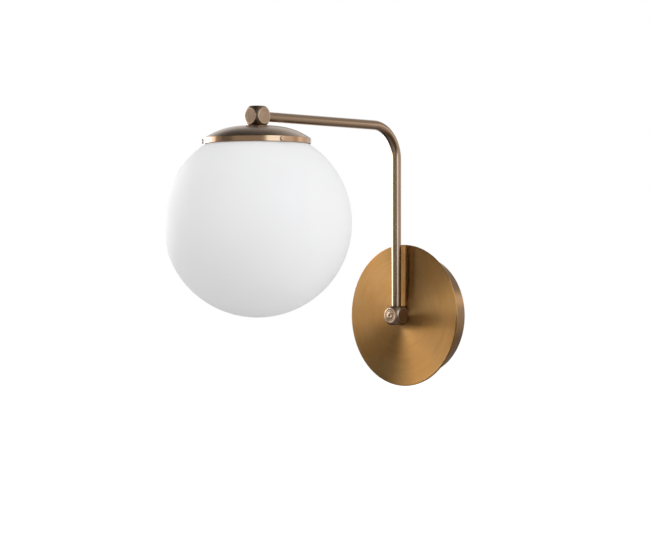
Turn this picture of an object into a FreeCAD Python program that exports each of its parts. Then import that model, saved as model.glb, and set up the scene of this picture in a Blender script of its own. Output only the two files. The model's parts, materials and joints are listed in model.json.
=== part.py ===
"""Globe wall sconce: a turned brass disc on a round canopy, a bent tube arm between two turned cube
knuckles, and an opal glass globe held under a shallow dome cap by three screws.

Millimetres. The wall is the plane y = 0 and the room is towards -Y, +Z is up. The origin is the centre of
the wall bracket's two slots, on the wall. The arm rises from the lower knuckle and runs straight out.
"""

import FreeCAD, Part
import math
import os
import Sketcher

V = FreeCAD.Vector
GLOBE_SCREWS = 3
# The part of a straight run that the arc at either end of it may take.
TURN_SHARE = 0.45
doc = FreeCAD.newDocument("globe_wall_sconce")
nodes = []

# Sizes that are set by themselves, each written once.
SIZES = (
    ("disc_radius", 60.0, "front disc, outside"),
    ("disc_thickness", 2.0, "front disc, sheet thickness"),
    ("disc_edge", 0.6, "rounding of the disc's two edges"),
    ("drum_radius", 50.5, "canopy drum, outside"),
    ("drum_depth", 20.0, "canopy drum, from the wall to the disc"),
    ("drum_wall", 1.2, "canopy drum, sheet thickness"),
    ("bracket_width", 22.0, "wall bracket, across its bar"),
    ("bracket_thickness", 1.5, "wall bracket, sheet thickness"),
    ("tab_width", 12.0, "bracket's bent ends, across"),
    ("tab_depth", 12.0, "bracket's bent ends, out from the wall"),
    ("tab_gap", 0.5, "bent end to the drum's inside, on its middle"),
    ("slot_width", 4.5, "wall screw slot, across"),
    ("slot_length", 12.0, "wall screw slot, end to end"),
    ("slot_spacing", 68.0, "wall screw slots, centre to centre"),
    ("cable_hole_radius", 6.0, "hole for the house cable in the bracket"),
    ("canopy_screw_radius", 2.0, "canopy side screw, shank"),
    ("canopy_screw_length", 8.0, "canopy side screw, under its head"),
    ("canopy_screw_out", 7.0, "canopy side screw, out from the wall"),
    ("pan_head_radius", 3.5, "pan head of the M4 screws"),
    ("pan_head_height", 2.2, "pan head of the M4 screws"),
    ("screw_play", 0.05, "hole to screw, all round"),
    ("thread_radius", 5.0, "hollow M10 x 1 thread, outside"),
    ("thread_bore", 3.5, "hollow M10 x 1 thread, bore radius"),
    ("thread_play", 0.1, "hole to hollow thread, all round"),
    ("thread_grip", 3.5, "length of hollow thread inside a knuckle"),
    ("nut_flats", 14.0, "lock nut, across flats"),
    ("nut_height", 3.0, "lock nut, thickness"),
    ("washer_radius", 9.0, "washer behind the canopy, outside"),
    ("washer_thickness", 1.0, "washer behind the canopy"),
    ("thread_tail", 1.0, "hollow thread showing past the rear nut"),
    ("knuckle_flats", 16.0, "turned cube knuckle, across flats"),
    ("knuckle_ball", 10.2, "radius of the turning that rounds the cube"),
    ("knuckle_hollow", 4.1, "radius of the lead's room inside a knuckle"),
    ("tube_radius", 4.0, "arm tube, outside"),
    ("tube_wall", 1.0, "arm tube, wall"),
    ("tube_grip", 5.0, "length of the tube inside a knuckle"),
    ("tube_play", 0.05, "tube to knuckle, all round"),
    ("arm_rise", 160.0, "arm's level run above the lower knuckle"),
    ("arm_reach", 164.0, "upright to the globe's axis"),
    ("bend_radius", 28.0, "arm's bend, on its centre line"),
    ("lock_screw_radius", 1.5, "grub screw that holds the arm's turn"),
    ("lock_screw_height", 4.5, "grub screw above the lower knuckle's centre"),
    ("lock_screw_gap", 0.15, "grub screw's tip to the tube"),
    ("lock_screw_sunk", 0.4, "grub screw's end below the knuckle's face"),
    ("neck_room", 1.7, "globe's neck to the inside of the cap's band"),
    ("cap_wall", 1.0, "dome cap, sheet thickness"),
    ("band_height", 4.3, "upright band round the cap's foot"),
    ("dome_rise", 9.9, "dome above the band"),
    ("crown_radius", 12.0, "flat crown that the knuckle stands on"),
    ("globe_radius", 75.0, "opal globe, outside"),
    ("globe_wall", 2.5, "opal globe, glass thickness"),
    ("neck_radius", 40.0, "globe's neck, outside"),
    ("globe_gap", 0.3, "globe to the lower edge of the cap"),
    ("gasket_thickness", 1.0, "soft ring above the globe's neck"),
    ("gasket_gap", 0.1, "soft ring to the dome, at its outer edge"),
    ("globe_screw_radius", 1.25, "screws that hold the globe"),
    ("globe_screw_gap", 0.15, "their tips to the neck"),
    ("globe_screw_head", 1.9, "their heads, radius"),
    ("globe_screw_head_height", 1.2, "their heads, height"),
    ("globe_screw_slot", 0.6, "their slots, width and depth"),
    ("globe_screw_angle", -17.0, "first screw, from +X towards +Y, degrees"),
    ("holder_radius", 14.0, "lampholder cap, outside"),
    ("holder_wall", 1.4, "lampholder cap, wall"),
    ("holder_cap_height", 17.0, "lampholder cap, height"),
    ("holder_thread", 6.0, "lampholder cap, threaded length"),
    ("holder_shoulder", 9.0, "flat top of the lampholder cap, radius"),
    ("holder_slope", 4.5, "height of the lampholder cap's slope"),
    ("skirt_radius", 13.6, "lampholder skirt, outside"),
    ("skirt_bore", 11.0, "lampholder skirt, inside"),
    ("skirt_height", 32.0, "lampholder skirt below its cap"),
    ("spigot_height", 4.0, "skirt's spigot inside the lampholder cap"),
    ("carrier_height", 22.0, "ceramic carrier, height"),
    ("carrier_top_gap", 1.0, "carrier below the top of the skirt's joint"),
    ("carrier_floor", 9.5, "solid top of the ceramic carrier"),
    ("carrier_play", 0.2, "carrier to skirt, all round"),
    ("shell_radius", 7.6, "lampholder's thread shell, outside"),
    ("shell_wall", 0.6, "lampholder's thread shell, wall"),
    ("shell_length", 20.4, "lampholder's thread shell, length"),
    ("fit_play", 0.1, "running play of the bulb and the shell"),
    ("contact_radius", 2.5, "centre contact"),
    ("contact_height", 1.6, "centre contact"),
    ("terminal_size", 4.0, "lampholder's screw terminals, square"),
    ("terminal_apart", 5.0, "lampholder's screw terminals, from its axis"),
    ("bulb_radius", 22.5, "golf ball bulb"),
    ("bulb_length", 76.0, "bulb, contact to crown"),
    ("bulb_glass", 1.0, "bulb, glass thickness"),
    ("base_length", 18.0, "bulb's screw base"),
    ("base_wall", 0.5, "bulb's screw base, sheet thickness"),
    ("tip_gap", 0.2, "bulb's contact to the centre contact"),
    ("tip_radius", 2.0, "bulb's contact, radius"),
    ("tip_height", 0.7, "bulb's contact, height"),
    ("base_insulator", 2.0, "bulb's glass insulator, thickness"),
    ("bulb_neck", 13.0, "radius where the bulb's ball meets its neck"),
    ("glass_grip", 6.0, "length of the bulb's neck inside its base"),
    ("sleeve_radius", 1.8, "terminal block's brass sleeves, outside"),
    ("sleeve_bore", 1.3, "terminal block's brass sleeves, bore radius"),
    ("sleeve_length", 14.0, "terminal block's brass sleeves, length"),
    ("pole_pitch", 8.0, "terminal block, pole to pole"),
    ("block_height", 16.0, "terminal block, along its poles"),
    ("block_depth", 12.0, "terminal block, out from the bracket"),
    ("block_drop", 10.0, "terminal block's top below the origin"),
    ("block_axis", 5.5, "terminal block's sleeves, out from the bracket"),
    ("block_screw_radius", 1.5, "screw that fixes the terminal block"),
    ("block_screw_head", 2.6, "its head, radius"),
    ("block_screw_head_height", 1.8, "its head, height"),
    ("pinch_screw_radius", 1.3, "terminal block's wire screws"),
    ("pinch_screw_length", 4.6, "terminal block's wire screws"),
    ("pinch_spacing", 8.0, "terminal block's two screws on one sleeve"),
    ("earth_x", 6.0, "earth screw, aside of the middle"),
    ("earth_z", 14.0, "earth screw, above the middle"),
    ("tag_thickness", 0.8, "earth tag, sheet thickness"),
    ("tag_radius", 4.0, "earth tag, ring"),
    ("tag_barrel", 1.5, "earth tag, crimped barrel radius"),
    ("tag_barrel_length", 5.0, "earth tag, crimped barrel length"),
    ("tag_barrel_gap", 0.2, "earth tag's barrel to the bracket"),
    ("tag_neck", 0.5, "earth tag, from its ring to its barrel"),
    ("lead_radius", 2.1, "round two core lead"),
    ("lead_turn", 4.0, "lead's turn inside a knuckle, centre line"),
    ("lead_joint", 6.0, "lead's joint above the lower knuckle's centre"),
    ("core_radius", 0.8, "one insulated core"),
    ("core_apart", 1.0, "core from the lead's middle"),
    ("core_play", 0.05, "core to the hole that it enters, all round"),
    ("core_grip", 4.0, "core inside a brass sleeve of the terminal block"),
    ("core_end", 2.0, "core inside a screw terminal of the lampholder"),
    ("core_lean", 1.0, "canopy cores' bend, back from the sleeves' middle"),
    ("core_rise", 2.5, "canopy cores' bend above the terminal block"),
    ("core_drop", 3.0, "lampholder cores' straight run under the sheath, and their sideways one's height"),
    ("earth_rise", 6.0, "earth core's bend above the terminal block"),
    ("earth_run", 3.0, "earth core's straight run below its barrel and inside it"),
    ("sheath_tail", 1.0, "lead's sheath past the hollow thread, or short of its end in the stem"),
    ("side_screw_radius", 1.1, "lampholder's wire screws"),
    ("side_screw_out", 1.2, "lampholder's wire screws, showing"),
)

# Places and sizes that follow from the list above.
PLACES = (
    ("disc_front", "size.drum_depth + size.disc_thickness"),
    ("disc_flat", "size.disc_radius - size.disc_edge"),
    ("disc_low_edge", "size.drum_depth + size.disc_edge"),
    ("disc_high_edge", "size.drum_depth + size.disc_thickness - size.disc_edge"),
    ("thread_hole", "size.thread_radius + size.thread_play"),
    ("drum_inside", "size.drum_radius - size.drum_wall"),
    ("drum_floor", "size.drum_depth - size.drum_wall"),
    ("tab_face", "size.drum_radius - size.drum_wall - size.tab_gap"),
    ("washer_back", "place.drum_floor - size.washer_thickness"),
    ("nut_back", "place.washer_back - size.nut_height"),
    ("thread_back", "place.nut_back - size.thread_tail"),
    ("thread_front", "place.disc_front + size.thread_grip"),
    ("knuckle_half", "size.knuckle_flats / 2"),
    ("knuckle_out", "place.disc_front + place.knuckle_half"),
    ("globe_out", "place.knuckle_out + size.arm_reach"),
    ("tube_foot", "place.knuckle_half - size.tube_grip"),
    ("bend_foot", "size.arm_rise - size.bend_radius"),
    ("bend_out", "-place.knuckle_out - size.bend_radius"),
    ("tube_tip", "-place.globe_out + place.tube_foot"),
    ("tube_bore", "size.tube_radius - size.tube_wall"),
    ("socket_radius", "size.tube_radius + size.tube_play"),
    ("upright_y", "-place.knuckle_out"),
    ("cap_top", "size.arm_rise - place.knuckle_half"),
    ("cap_under", "place.cap_top - size.cap_wall"),
    ("cap_bore", "size.neck_radius + size.neck_room"),
    ("cap_radius", "place.cap_bore + size.cap_wall"),
    ("band_top", "place.cap_top - size.dome_rise"),
    ("band_foot", "place.band_top - size.band_height"),
    ("dome_span", "place.cap_radius - size.crown_radius"),
    ("dome_arc", "(place.dome_span ^ 2 + size.dome_rise ^ 2) / (2 * size.dome_rise)"),
    ("dome_arc_inside", "place.dome_arc - size.cap_wall"),
    ("dome_centre", "place.cap_top - place.dome_arc"),
    ("bore_span", "place.cap_bore - size.crown_radius"),
    ("bore_top", "place.dome_centre + sqrt(place.dome_arc_inside ^ 2 - place.bore_span ^ 2)"),
    ("neck_span", "size.neck_radius - size.crown_radius"),
    ("dome_over_neck", "place.dome_centre + sqrt(place.dome_arc_inside ^ 2 - place.neck_span ^ 2)"),
    ("gasket_top", "place.dome_over_neck - size.gasket_gap"),
    ("neck_top", "place.gasket_top - size.gasket_thickness"),
    ("neck_bore", "size.neck_radius - size.globe_wall"),
    ("globe_rim", "place.cap_bore - size.globe_gap"),
    ("globe_centre", "place.band_foot - sqrt(size.globe_radius ^ 2 - place.globe_rim ^ 2)"),
    ("globe_bottom", "place.globe_centre - size.globe_radius"),
    ("globe_floor", "place.globe_bottom + size.globe_wall"),
    ("globe_inside", "size.globe_radius - size.globe_wall"),
    ("neck_foot", "place.globe_centre + sqrt(size.globe_radius ^ 2 - size.neck_radius ^ 2)"),
    ("neck_root", "place.globe_centre + sqrt(place.globe_inside ^ 2 - place.neck_bore ^ 2)"),
    ("band_middle", "(place.band_top + place.band_foot) / 2"),
    ("glass_drop", "place.band_middle - size.globe_screw_radius - place.globe_centre"),
    ("glass_at_screw", "sqrt(size.globe_radius ^ 2 - place.glass_drop ^ 2)"),
    ("screw_tip", "max(size.neck_radius; place.glass_at_screw) + size.globe_screw_gap"),
    ("screw_head_foot", "place.cap_radius + size.screw_play"),
    ("screw_head_top", "place.screw_head_foot + size.globe_screw_head_height"),
    ("cap_nut_foot", "place.cap_under - size.nut_height"),
    ("holder_top", "place.cap_nut_foot"),
    ("holder_foot", "place.holder_top - size.holder_cap_height"),
    ("holder_inside", "size.holder_radius - size.holder_wall"),
    ("holder_ceiling", "place.holder_top - size.holder_thread"),
    ("holder_slope_foot", "place.holder_top - size.holder_slope"),
    ("stem_foot", "place.holder_ceiling - size.holder_wall"),
    ("stem_top", "place.cap_top + size.thread_grip"),
    ("spigot_radius", "place.holder_inside - size.fit_play"),
    ("spigot_top", "place.holder_foot + size.spigot_height"),
    ("skirt_foot", "place.holder_foot - size.skirt_height"),
    ("carrier_radius", "size.skirt_bore - size.carrier_play"),
    ("carrier_top", "place.holder_foot - size.carrier_top_gap"),
    ("carrier_foot", "place.carrier_top - size.carrier_height"),
    ("carrier_ceiling", "place.carrier_top - size.carrier_floor"),
    ("carrier_bore", "size.shell_radius + size.fit_play"),
    ("shell_foot", "place.carrier_ceiling - size.shell_length"),
    ("shell_inside", "size.shell_radius - size.shell_wall"),
    ("contact_foot", "place.carrier_ceiling - size.contact_height"),
    ("bulb_top", "place.contact_foot - size.tip_gap"),
    ("base_radius", "place.shell_inside - size.fit_play"),
    ("base_top", "place.bulb_top - size.tip_height"),
    ("base_foot", "place.base_top - size.base_length"),
    ("base_bore", "place.base_radius - size.base_wall"),
    ("glass_plug", "place.base_bore - size.fit_play"),
    ("glass_plug_top", "place.base_foot + size.glass_grip"),
    ("glass_plug_bore", "place.glass_plug - size.bulb_glass"),
    ("bulb_bottom", "place.bulb_top - size.bulb_length"),
    ("bulb_centre", "place.bulb_bottom + size.bulb_radius"),
    ("bulb_floor", "place.bulb_bottom + size.bulb_glass"),
    ("bulb_inside", "size.bulb_radius - size.bulb_glass"),
    ("bulb_neck_foot", "place.bulb_centre + sqrt(size.bulb_radius ^ 2 - size.bulb_neck ^ 2)"),
    ("bulb_neck_bore", "size.bulb_neck - size.bulb_glass"),
    ("bulb_neck_root", "place.bulb_centre + sqrt(place.bulb_inside ^ 2 - place.bulb_neck_bore ^ 2)"),
    ("block_front", "size.bracket_thickness + size.block_depth"),
    ("block_axis_out", "size.bracket_thickness + size.block_axis"),
    ("block_top", "-size.block_drop"),
    ("block_foot", "-size.block_drop - size.block_height"),
    ("block_middle", "-size.block_drop - size.block_height / 2"),
    ("block_width", "size.pole_pitch * 3"),
    ("tag_face", "size.bracket_thickness + size.tag_thickness"),
    ("tag_barrel_out", "size.bracket_thickness + size.tag_barrel_gap + size.tag_barrel"),
    ("tag_drop", "size.tag_radius + size.tag_neck"),
    ("tag_barrel_foot", "size.earth_z - place.tag_drop + size.tag_neck - size.tag_barrel_length"),
)


def fill_sheet(name, rows):
    """A sheet with one named cell for each row."""
    sheet = doc.addObject("Spreadsheet::Sheet", name)
    for line, row in enumerate(rows, start=1):
        cell = "A%d" % line
        content = row[1]
        sheet.set(cell, str(content) if isinstance(content, float) else "=" + content)
        sheet.setAlias(cell, row[0])
        if len(row) > 2:
            sheet.set("B%d" % line, row[2])
    return sheet


size = fill_sheet("size", SIZES)
place = fill_sheet("place", PLACES)
doc.recompute()
size_names = {row[0] for row in SIZES}


def full_name(word):
    """The sheet and cell that a size or place is kept in."""
    return ("size." if word in size_names else "place.") + word


def number(word):
    """The value of a size or place, in millimetres."""
    return float(getattr(size if word in size_names else place, word))


def put(thing, x="0", y="0", z="0", turn=None):
    """Places an object by expressions, turned by a fixed rotation."""
    if turn is not None:
        thing.Placement = FreeCAD.Placement(V(0, 0, 0), turn)
    for axis, words in (("x", x), ("y", y), ("z", z)):
        if words != "0":
            thing.setExpression("Placement.Base." + axis, words)
    return thing


TO_ROOM = FreeCAD.Rotation(V(1, 0, 0), 90)
ALONG = {
    "+x": FreeCAD.Rotation(V(0, 1, 0), 90),
    "-x": FreeCAD.Rotation(V(0, 1, 0), -90),
    "+y": FreeCAD.Rotation(V(1, 0, 0), -90),
    "-y": TO_ROOM,
    "+z": FreeCAD.Rotation(),
    "-z": FreeCAD.Rotation(V(1, 0, 0), 180),
}


def rod(label, radius, length, x="0", y="0", z="0", along="+z", about=None):
    """A round rod from a point along an axis, which a further turn may swing."""
    thing = doc.addObject("Part::Cylinder", label)
    thing.setExpression("Radius", radius)
    thing.setExpression("Height", length)
    return put(thing, x, y, z, ALONG[along] if about is None else about * ALONG[along])


def block(label, wide, deep, high, x="0", y="0", z="0"):
    """A box from its lowest corner."""
    thing = doc.addObject("Part::Box", label)
    thing.setExpression("Length", wide)
    thing.setExpression("Width", deep)
    thing.setExpression("Height", high)
    return put(thing, x, y, z)


def ball(label, radius, x="0", y="0", z="0"):
    """A whole ball about a point."""
    thing = doc.addObject("Part::Sphere", label)
    thing.setExpression("Radius", radius)
    return put(thing, x, y, z)


def hexagon(label, flats, height, x="0", y="0", z="0", along="+z"):
    """A six sided prism from a point along an axis, by its width across flats."""
    thing = doc.addObject("Part::Prism", label)
    thing.Polygon = 6
    thing.setExpression("Circumradius", flats + " / sqrt(3)")
    thing.setExpression("Height", height)
    return put(thing, x, y, z, ALONG[along])


def joined(label, things):
    """Several objects as one."""
    thing = doc.addObject("Part::MultiFuse", label)
    thing.Shapes = things
    return thing


def shared(label, things):
    """What several objects have in common."""
    thing = doc.addObject("Part::MultiCommon", label)
    thing.Shapes = things
    return thing


def cut(label, base, tools):
    """An object less its holes."""
    thing = doc.addObject("Part::Cut", label)
    thing.Base = base
    thing.Tool = tools[0] if len(tools) == 1 else joined(label + "_holes", tools)
    return thing


def group(label, things):
    """Separate solids that share one node."""
    thing = doc.addObject("Part::Compound", label)
    thing.Links = things
    return thing


def node(thing, label):
    """Names a finished sub-part, which is written under this label."""
    thing.Label = label
    nodes.append(thing)
    return thing


def plane_of(body, role):
    """One of a body's own origin planes."""
    return [feature for feature in body.Origin.OriginFeatures if feature.Role == role][0]


def arc_middle(start, end, radius, side):
    """The middle of the shorter arc between two points; side 1 bulges to the left, -1 to the right."""
    chord = end - start
    half = chord.Length / 2
    left = V(-chord.y, chord.x, 0).normalize()
    return (start + end) / 2 + left * (side * (radius - math.sqrt(radius ** 2 - half ** 2)))


def hold_point(sketch, edge, end, across, along):
    """Ties one end of an edge to its two named distances."""
    for kind, word, axis in (("DistanceX", across, -2), ("DistanceY", along, -1)):
        if word == "0":
            sketch.addConstraint(Sketcher.Constraint("PointOnObject", edge, end, axis))
            continue
        held = sketch.addConstraint(Sketcher.Constraint(kind, -1, 1, edge, end, number(word)))
        sketch.setExpression("Constraints[%d]" % held, full_name(word))


def draw(body, label, role, corners, closed=True):
    """A sketch of lines and arcs through named corners, each (across, along) or
    (across, along, arc radius, side) where an arc leaves it."""
    sketch = body.newObject("Sketcher::SketchObject", label)
    sketch.AttachmentSupport = (plane_of(body, role), [""])
    sketch.MapMode = "FlatFace"
    points = [V(number(c[0]) if c[0] != "0" else 0, number(c[1]) if c[1] != "0" else 0, 0) for c in corners]
    count = len(corners) if closed else len(corners) - 1
    ends = []
    for index in range(count):
        start = points[index]
        end = points[(index + 1) % len(points)]
        corner = corners[index]
        if len(corner) == 2:
            edge = sketch.addGeometry(Part.LineSegment(start, end))
        else:
            middle = arc_middle(start, end, number(corner[2]), corner[3])
            edge = sketch.addGeometry(Part.Arc(start, middle, end))
            held = sketch.addConstraint(Sketcher.Constraint("Radius", edge, number(corner[2])))
            sketch.setExpression("Constraints[%d]" % held, full_name(corner[2]))
        first = sketch.getPoint(edge, 1)
        last = sketch.getPoint(edge, 2)
        forward = first.distanceToPoint(start) < last.distanceToPoint(start)
        ends.append((edge, 1 if forward else 2, 2 if forward else 1))
    for index, corner in enumerate(corners):
        if index < count:
            hold_point(sketch, ends[index][0], ends[index][1], corner[0], corner[1])
        else:
            hold_point(sketch, ends[index - 1][0], ends[index - 1][2], corner[0], corner[1])
        if index + 1 < count or closed:
            before = ends[index]
            after = ends[(index + 1) % count]
            sketch.addConstraint(Sketcher.Constraint("Coincident", before[0], before[2], after[0], after[1]))
    return sketch


def turned(label, corners, x="0", y="0", z="0", turn=None):
    """A body turned from an outline of (radius, height) corners."""
    body = doc.addObject("PartDesign::Body", label + "_body")
    sketch = draw(body, label + "_outline", "XZ_Plane", corners)
    revolution = body.newObject("PartDesign::Revolution", label + "_turned")
    revolution.Profile = sketch
    revolution.ReferenceAxis = (sketch, ["V_Axis"])
    revolution.Angle = 360
    body.Tip = revolution
    return put(body, x, y, z, turn)


def straight_route(points, turns):
    """A wire of straight runs joined by tangent arcs, one turn radius for each inner point."""
    edges = []
    start = points[0]
    for index in range(1, len(points) - 1):
        before = (points[index - 1] - points[index]).normalize()
        after = (points[index + 1] - points[index]).normalize()
        half_turn = (math.pi - before.getAngle(after)) / 2
        setback = turns[index - 1] * math.tan(half_turn)
        arc_start = points[index] + before * setback
        arc_end = points[index] + after * setback
        inward = (before + after).normalize()
        middle = points[index] + inward * (turns[index - 1] / math.cos(half_turn) - turns[index - 1])
        edges.append(Part.LineSegment(start, arc_start).toShape())
        edges.append(Part.Arc(arc_start, middle, arc_end).toShape())
        start = arc_end
    edges.append(Part.LineSegment(start, points[-1]).toShape())
    return Part.Wire(edges)


def wire_along(label, points, turns, radius):
    """A round lead or core swept along its route."""
    route = straight_route(points, turns)
    heading = points[1] - points[0]
    section = Part.Wire([Part.Circle(points[0], heading, radius).toShape()])
    thing = doc.addObject("Part::Feature", label)
    thing.Shape = route.makePipeShell([section], True, False)
    expected = math.pi * radius ** 2 * route.Length
    radii = ", ".join("%.1f" % turn for turn in turns)
    print("%s: %.1f mm long, turns of %s mm, volume %.4f of its section times its length"
          % (label, route.Length, radii, thing.Shape.Volume / expected))
    return thing


def easy_turns(points):
    """For each inner point the largest arc that its two runs leave room for."""
    turns = []
    for index in range(1, len(points) - 1):
        before = points[index - 1] - points[index]
        after = points[index + 1] - points[index]
        half_turn = (math.pi - before.getAngle(after)) / 2
        turns.append(TURN_SHARE * min(before.Length, after.Length) / math.tan(half_turn))
    return turns


def front_disc():
    """The wide brushed disc, with both edges eased."""
    corners = [
        ("thread_hole", "drum_depth"),
        ("disc_flat", "drum_depth", "disc_edge", -1),
        ("disc_radius", "disc_low_edge"),
        ("disc_radius", "disc_high_edge", "disc_edge", -1),
        ("disc_flat", "disc_front"),
        ("thread_hole", "disc_front"),
    ]
    node(turned("front_disc", corners, turn=TO_ROOM), "front_disc")


def side_screw_way(label):
    """The clearance hole for both of the canopy's side screws, right across it."""
    return rod(label, "size.canopy_screw_radius + size.screw_play", "size.disc_radius * 2",
               y="-size.canopy_screw_out", z="-size.disc_radius")


def canopy_drum():
    """The drum behind the disc, open at the wall, with a hole above and below for its screws."""
    corners = [
        ("thread_hole", "drum_depth"),
        ("drum_radius", "drum_depth"),
        ("drum_radius", "0"),
        ("drum_inside", "0"),
        ("drum_inside", "drum_floor"),
        ("thread_hole", "drum_floor"),
    ]
    drum = turned("canopy_drum", corners, turn=TO_ROOM)
    node(cut("canopy_drum", drum, [side_screw_way("drum_screw_hole")]), "canopy_drum")


def slot(label, z):
    """One upright slot, cut from a sheet's thickness behind the bracket to one in front of it."""
    reach = "size.bracket_thickness * 3"
    start = "size.bracket_thickness"
    half = "(size.slot_length - size.slot_width) / 2"
    middle = block(label + "_middle", "size.slot_width", reach, "size.slot_length - size.slot_width",
                   x="-size.slot_width / 2", y="-2 * size.bracket_thickness", z=z + " - " + half)
    low = rod(label + "_low", "size.slot_width / 2", reach, y=start, z=z + " - " + half, along="-y")
    high = rod(label + "_high", "size.slot_width / 2", reach, y=start, z=z + " + " + half, along="-y")
    return [middle, low, high]


def wall_bracket():
    """The steel bar on the wall, with its ends bent forward for the canopy's side screws."""
    bar = block("bracket_bar", "size.bracket_width", "size.bracket_thickness", "2 * place.tab_face",
                x="-size.bracket_width / 2", y="-size.bracket_thickness", z="-place.tab_face")
    low_tab = block("bracket_low_tab", "size.tab_width", "size.tab_depth", "size.bracket_thickness",
                    x="-size.tab_width / 2", y="-size.tab_depth", z="-place.tab_face")
    high_tab = block("bracket_high_tab", "size.tab_width", "size.tab_depth", "size.bracket_thickness",
                     x="-size.tab_width / 2", y="-size.tab_depth",
                     z="place.tab_face - size.bracket_thickness")
    # The bar's four corners are cut back to a round that clears the drum.
    disc = rod("bracket_round", "place.tab_face", "size.tab_depth + size.bracket_thickness",
               y="size.bracket_thickness", along="-y")
    tab_room = block("bracket_tab_room", "size.tab_width", "size.tab_depth * 2", "2 * place.tab_face",
                     x="-size.tab_width / 2", y="-size.tab_depth", z="-place.tab_face")
    plate = shared("bracket_plate", [joined("bracket_sheet", [bar, low_tab, high_tab]),
                                     joined("bracket_limit", [disc, tab_room])])
    through = "size.bracket_thickness * 3"
    start = "size.bracket_thickness"
    holes = slot("upper_slot", "size.slot_spacing / 2") + slot("lower_slot", "-size.slot_spacing / 2")
    holes.append(rod("cable_hole", "size.cable_hole_radius", through, y=start, along="-y"))
    holes.append(rod("earth_hole", "size.canopy_screw_radius + size.screw_play", through,
                     x="size.earth_x", y=start, z="size.earth_z", along="-y"))
    holes.append(rod("block_screw_hole", "size.block_screw_radius + size.screw_play", through,
                     x="size.pole_pitch / 2", y=start, z="place.block_middle", along="-y"))
    holes.append(side_screw_way("tab_hole"))
    node(cut("wall_bracket", plate, holes), "wall_bracket")


def pan_screw(label, x, y, z, along, length):
    """A pan head M4 screw whose head sits on a face at the given point, pointing along its shank."""
    back = {"+z": "-z", "-z": "+z", "+y": "-y"}[along]
    shank = rod(label + "_shank", "size.canopy_screw_radius", length, x, y, z, along)
    head = rod(label + "_head", "size.pan_head_radius", "size.pan_head_height", x, y, z, back)
    return joined(label, [shank, head])


def canopy_screws():
    """The two side screws that hold the drum to the bracket's bent ends."""
    face = "(size.drum_radius + size.screw_play)"
    length = "size.canopy_screw_length"
    low = pan_screw("low_canopy_screw", "0", "-size.canopy_screw_out", "-" + face, "+z", length)
    high = pan_screw("high_canopy_screw", "0", "-size.canopy_screw_out", face, "-z", length)
    node(group("canopy_screws", [low, high]), "canopy_screws")


def hollow_thread(label, length, x="0", y="0", z="0", along="+z"):
    """A length of hollow thread."""
    outside = rod(label + "_outside", "size.thread_radius", length, x, y, z, along)
    inside = rod(label + "_inside", "size.thread_bore", length, x, y, z, along)
    return cut(label, outside, [inside])


def lock_nut(label, x="0", y="0", z="0", along="+z"):
    """A six sided nut on the hollow thread."""
    outside = hexagon(label + "_outside", "size.nut_flats", "size.nut_height", x, y, z, along)
    inside = rod(label + "_inside", "place.thread_hole", "size.nut_height", x, y, z, along)
    return cut(label, outside, [inside])


def canopy_fixings():
    """The hollow thread that carries the lower knuckle, with its washer and nut inside the drum."""
    length = "place.thread_front - place.thread_back"
    node(hollow_thread("canopy_nipple", length, y="-place.thread_back", along="-y"), "canopy_nipple")
    washer = cut("canopy_washer",
                 rod("washer_outside", "size.washer_radius", "size.washer_thickness", y="-place.washer_back",
                     along="-y"),
                 [rod("washer_inside", "place.thread_hole", "size.washer_thickness", y="-place.washer_back",
                      along="-y")])
    node(washer, "canopy_washer")
    node(lock_nut("canopy_nut", y="-place.nut_back", along="-y"), "canopy_nut")


def knuckle(label, y, z, tube_side, thread_side, extra_holes):
    """A cube rounded by a ball, bored for the tube on one side and for the thread on another."""
    cube = block(label + "_cube", "size.knuckle_flats", "size.knuckle_flats", "size.knuckle_flats",
                 x="-place.knuckle_half", y=y + " - place.knuckle_half", z=z + " - place.knuckle_half")
    turning = ball(label + "_turning", "size.knuckle_ball", y=y, z=z)
    solid = shared(label + "_solid", [cube, turning])
    grips = {
        "tube": ("place.socket_radius", "size.tube_grip"),
        "thread": ("place.thread_hole", "size.thread_grip"),
    }
    bores = {"tube": "place.tube_bore", "thread": "size.thread_bore"}
    holes = [ball(label + "_hollow", "size.knuckle_hollow", y=y, z=z)]
    for kind, side in (("tube", tube_side), ("thread", thread_side)):
        radius, grip = grips[kind]
        depth = "(place.knuckle_half - " + grip + ")"
        sign = "-" if side[0] == "-" else "+"
        # The wide bore runs from its shoulder out past the face, the narrow one from the centre.
        start = {"y": y, "z": z}
        start[side[1]] = start[side[1]] + " " + sign + " " + depth
        name = label + "_" + kind
        holes.append(rod(name + "_grip", radius, grip + " * 2", y=start["y"], z=start["z"], along=side))
        holes.append(rod(name + "_way", bores[kind], "place.knuckle_half", y=y, z=z, along=side))
    return cut(label, solid, holes + extra_holes)


def lower_knuckle():
    """The knuckle on the disc, with the grub screw that holds the arm where it is turned to."""
    hole = rod("lock_screw_hole", "size.lock_screw_radius + size.screw_play", "size.knuckle_flats",
               y="place.upright_y", z="size.lock_screw_height", along="-x")
    node(knuckle("lower_knuckle", "place.upright_y", "0", "+z", "+y", [hole]), "lower_knuckle")
    tip = "(place.socket_radius + size.lock_screw_gap)"
    screw = rod("lock_screw_rod", "size.lock_screw_radius",
                "place.knuckle_half - size.lock_screw_sunk - " + tip,
                x="-" + tip, y="place.upright_y", z="size.lock_screw_height", along="-x")
    recess = hexagon("lock_screw_recess", "size.lock_screw_radius", "size.lock_screw_radius",
                     x="-(place.knuckle_half - size.lock_screw_sunk - size.lock_screw_radius)",
                     y="place.upright_y", z="size.lock_screw_height", along="-x")
    node(cut("arm_lock_screw", screw, [recess]), "arm_lock_screw")


def upper_knuckle():
    """The knuckle at the arm's end, standing on the cap's crown."""
    node(knuckle("upper_knuckle", "-place.globe_out", "size.arm_rise", "+y", "-z", []), "upper_knuckle")


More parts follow.
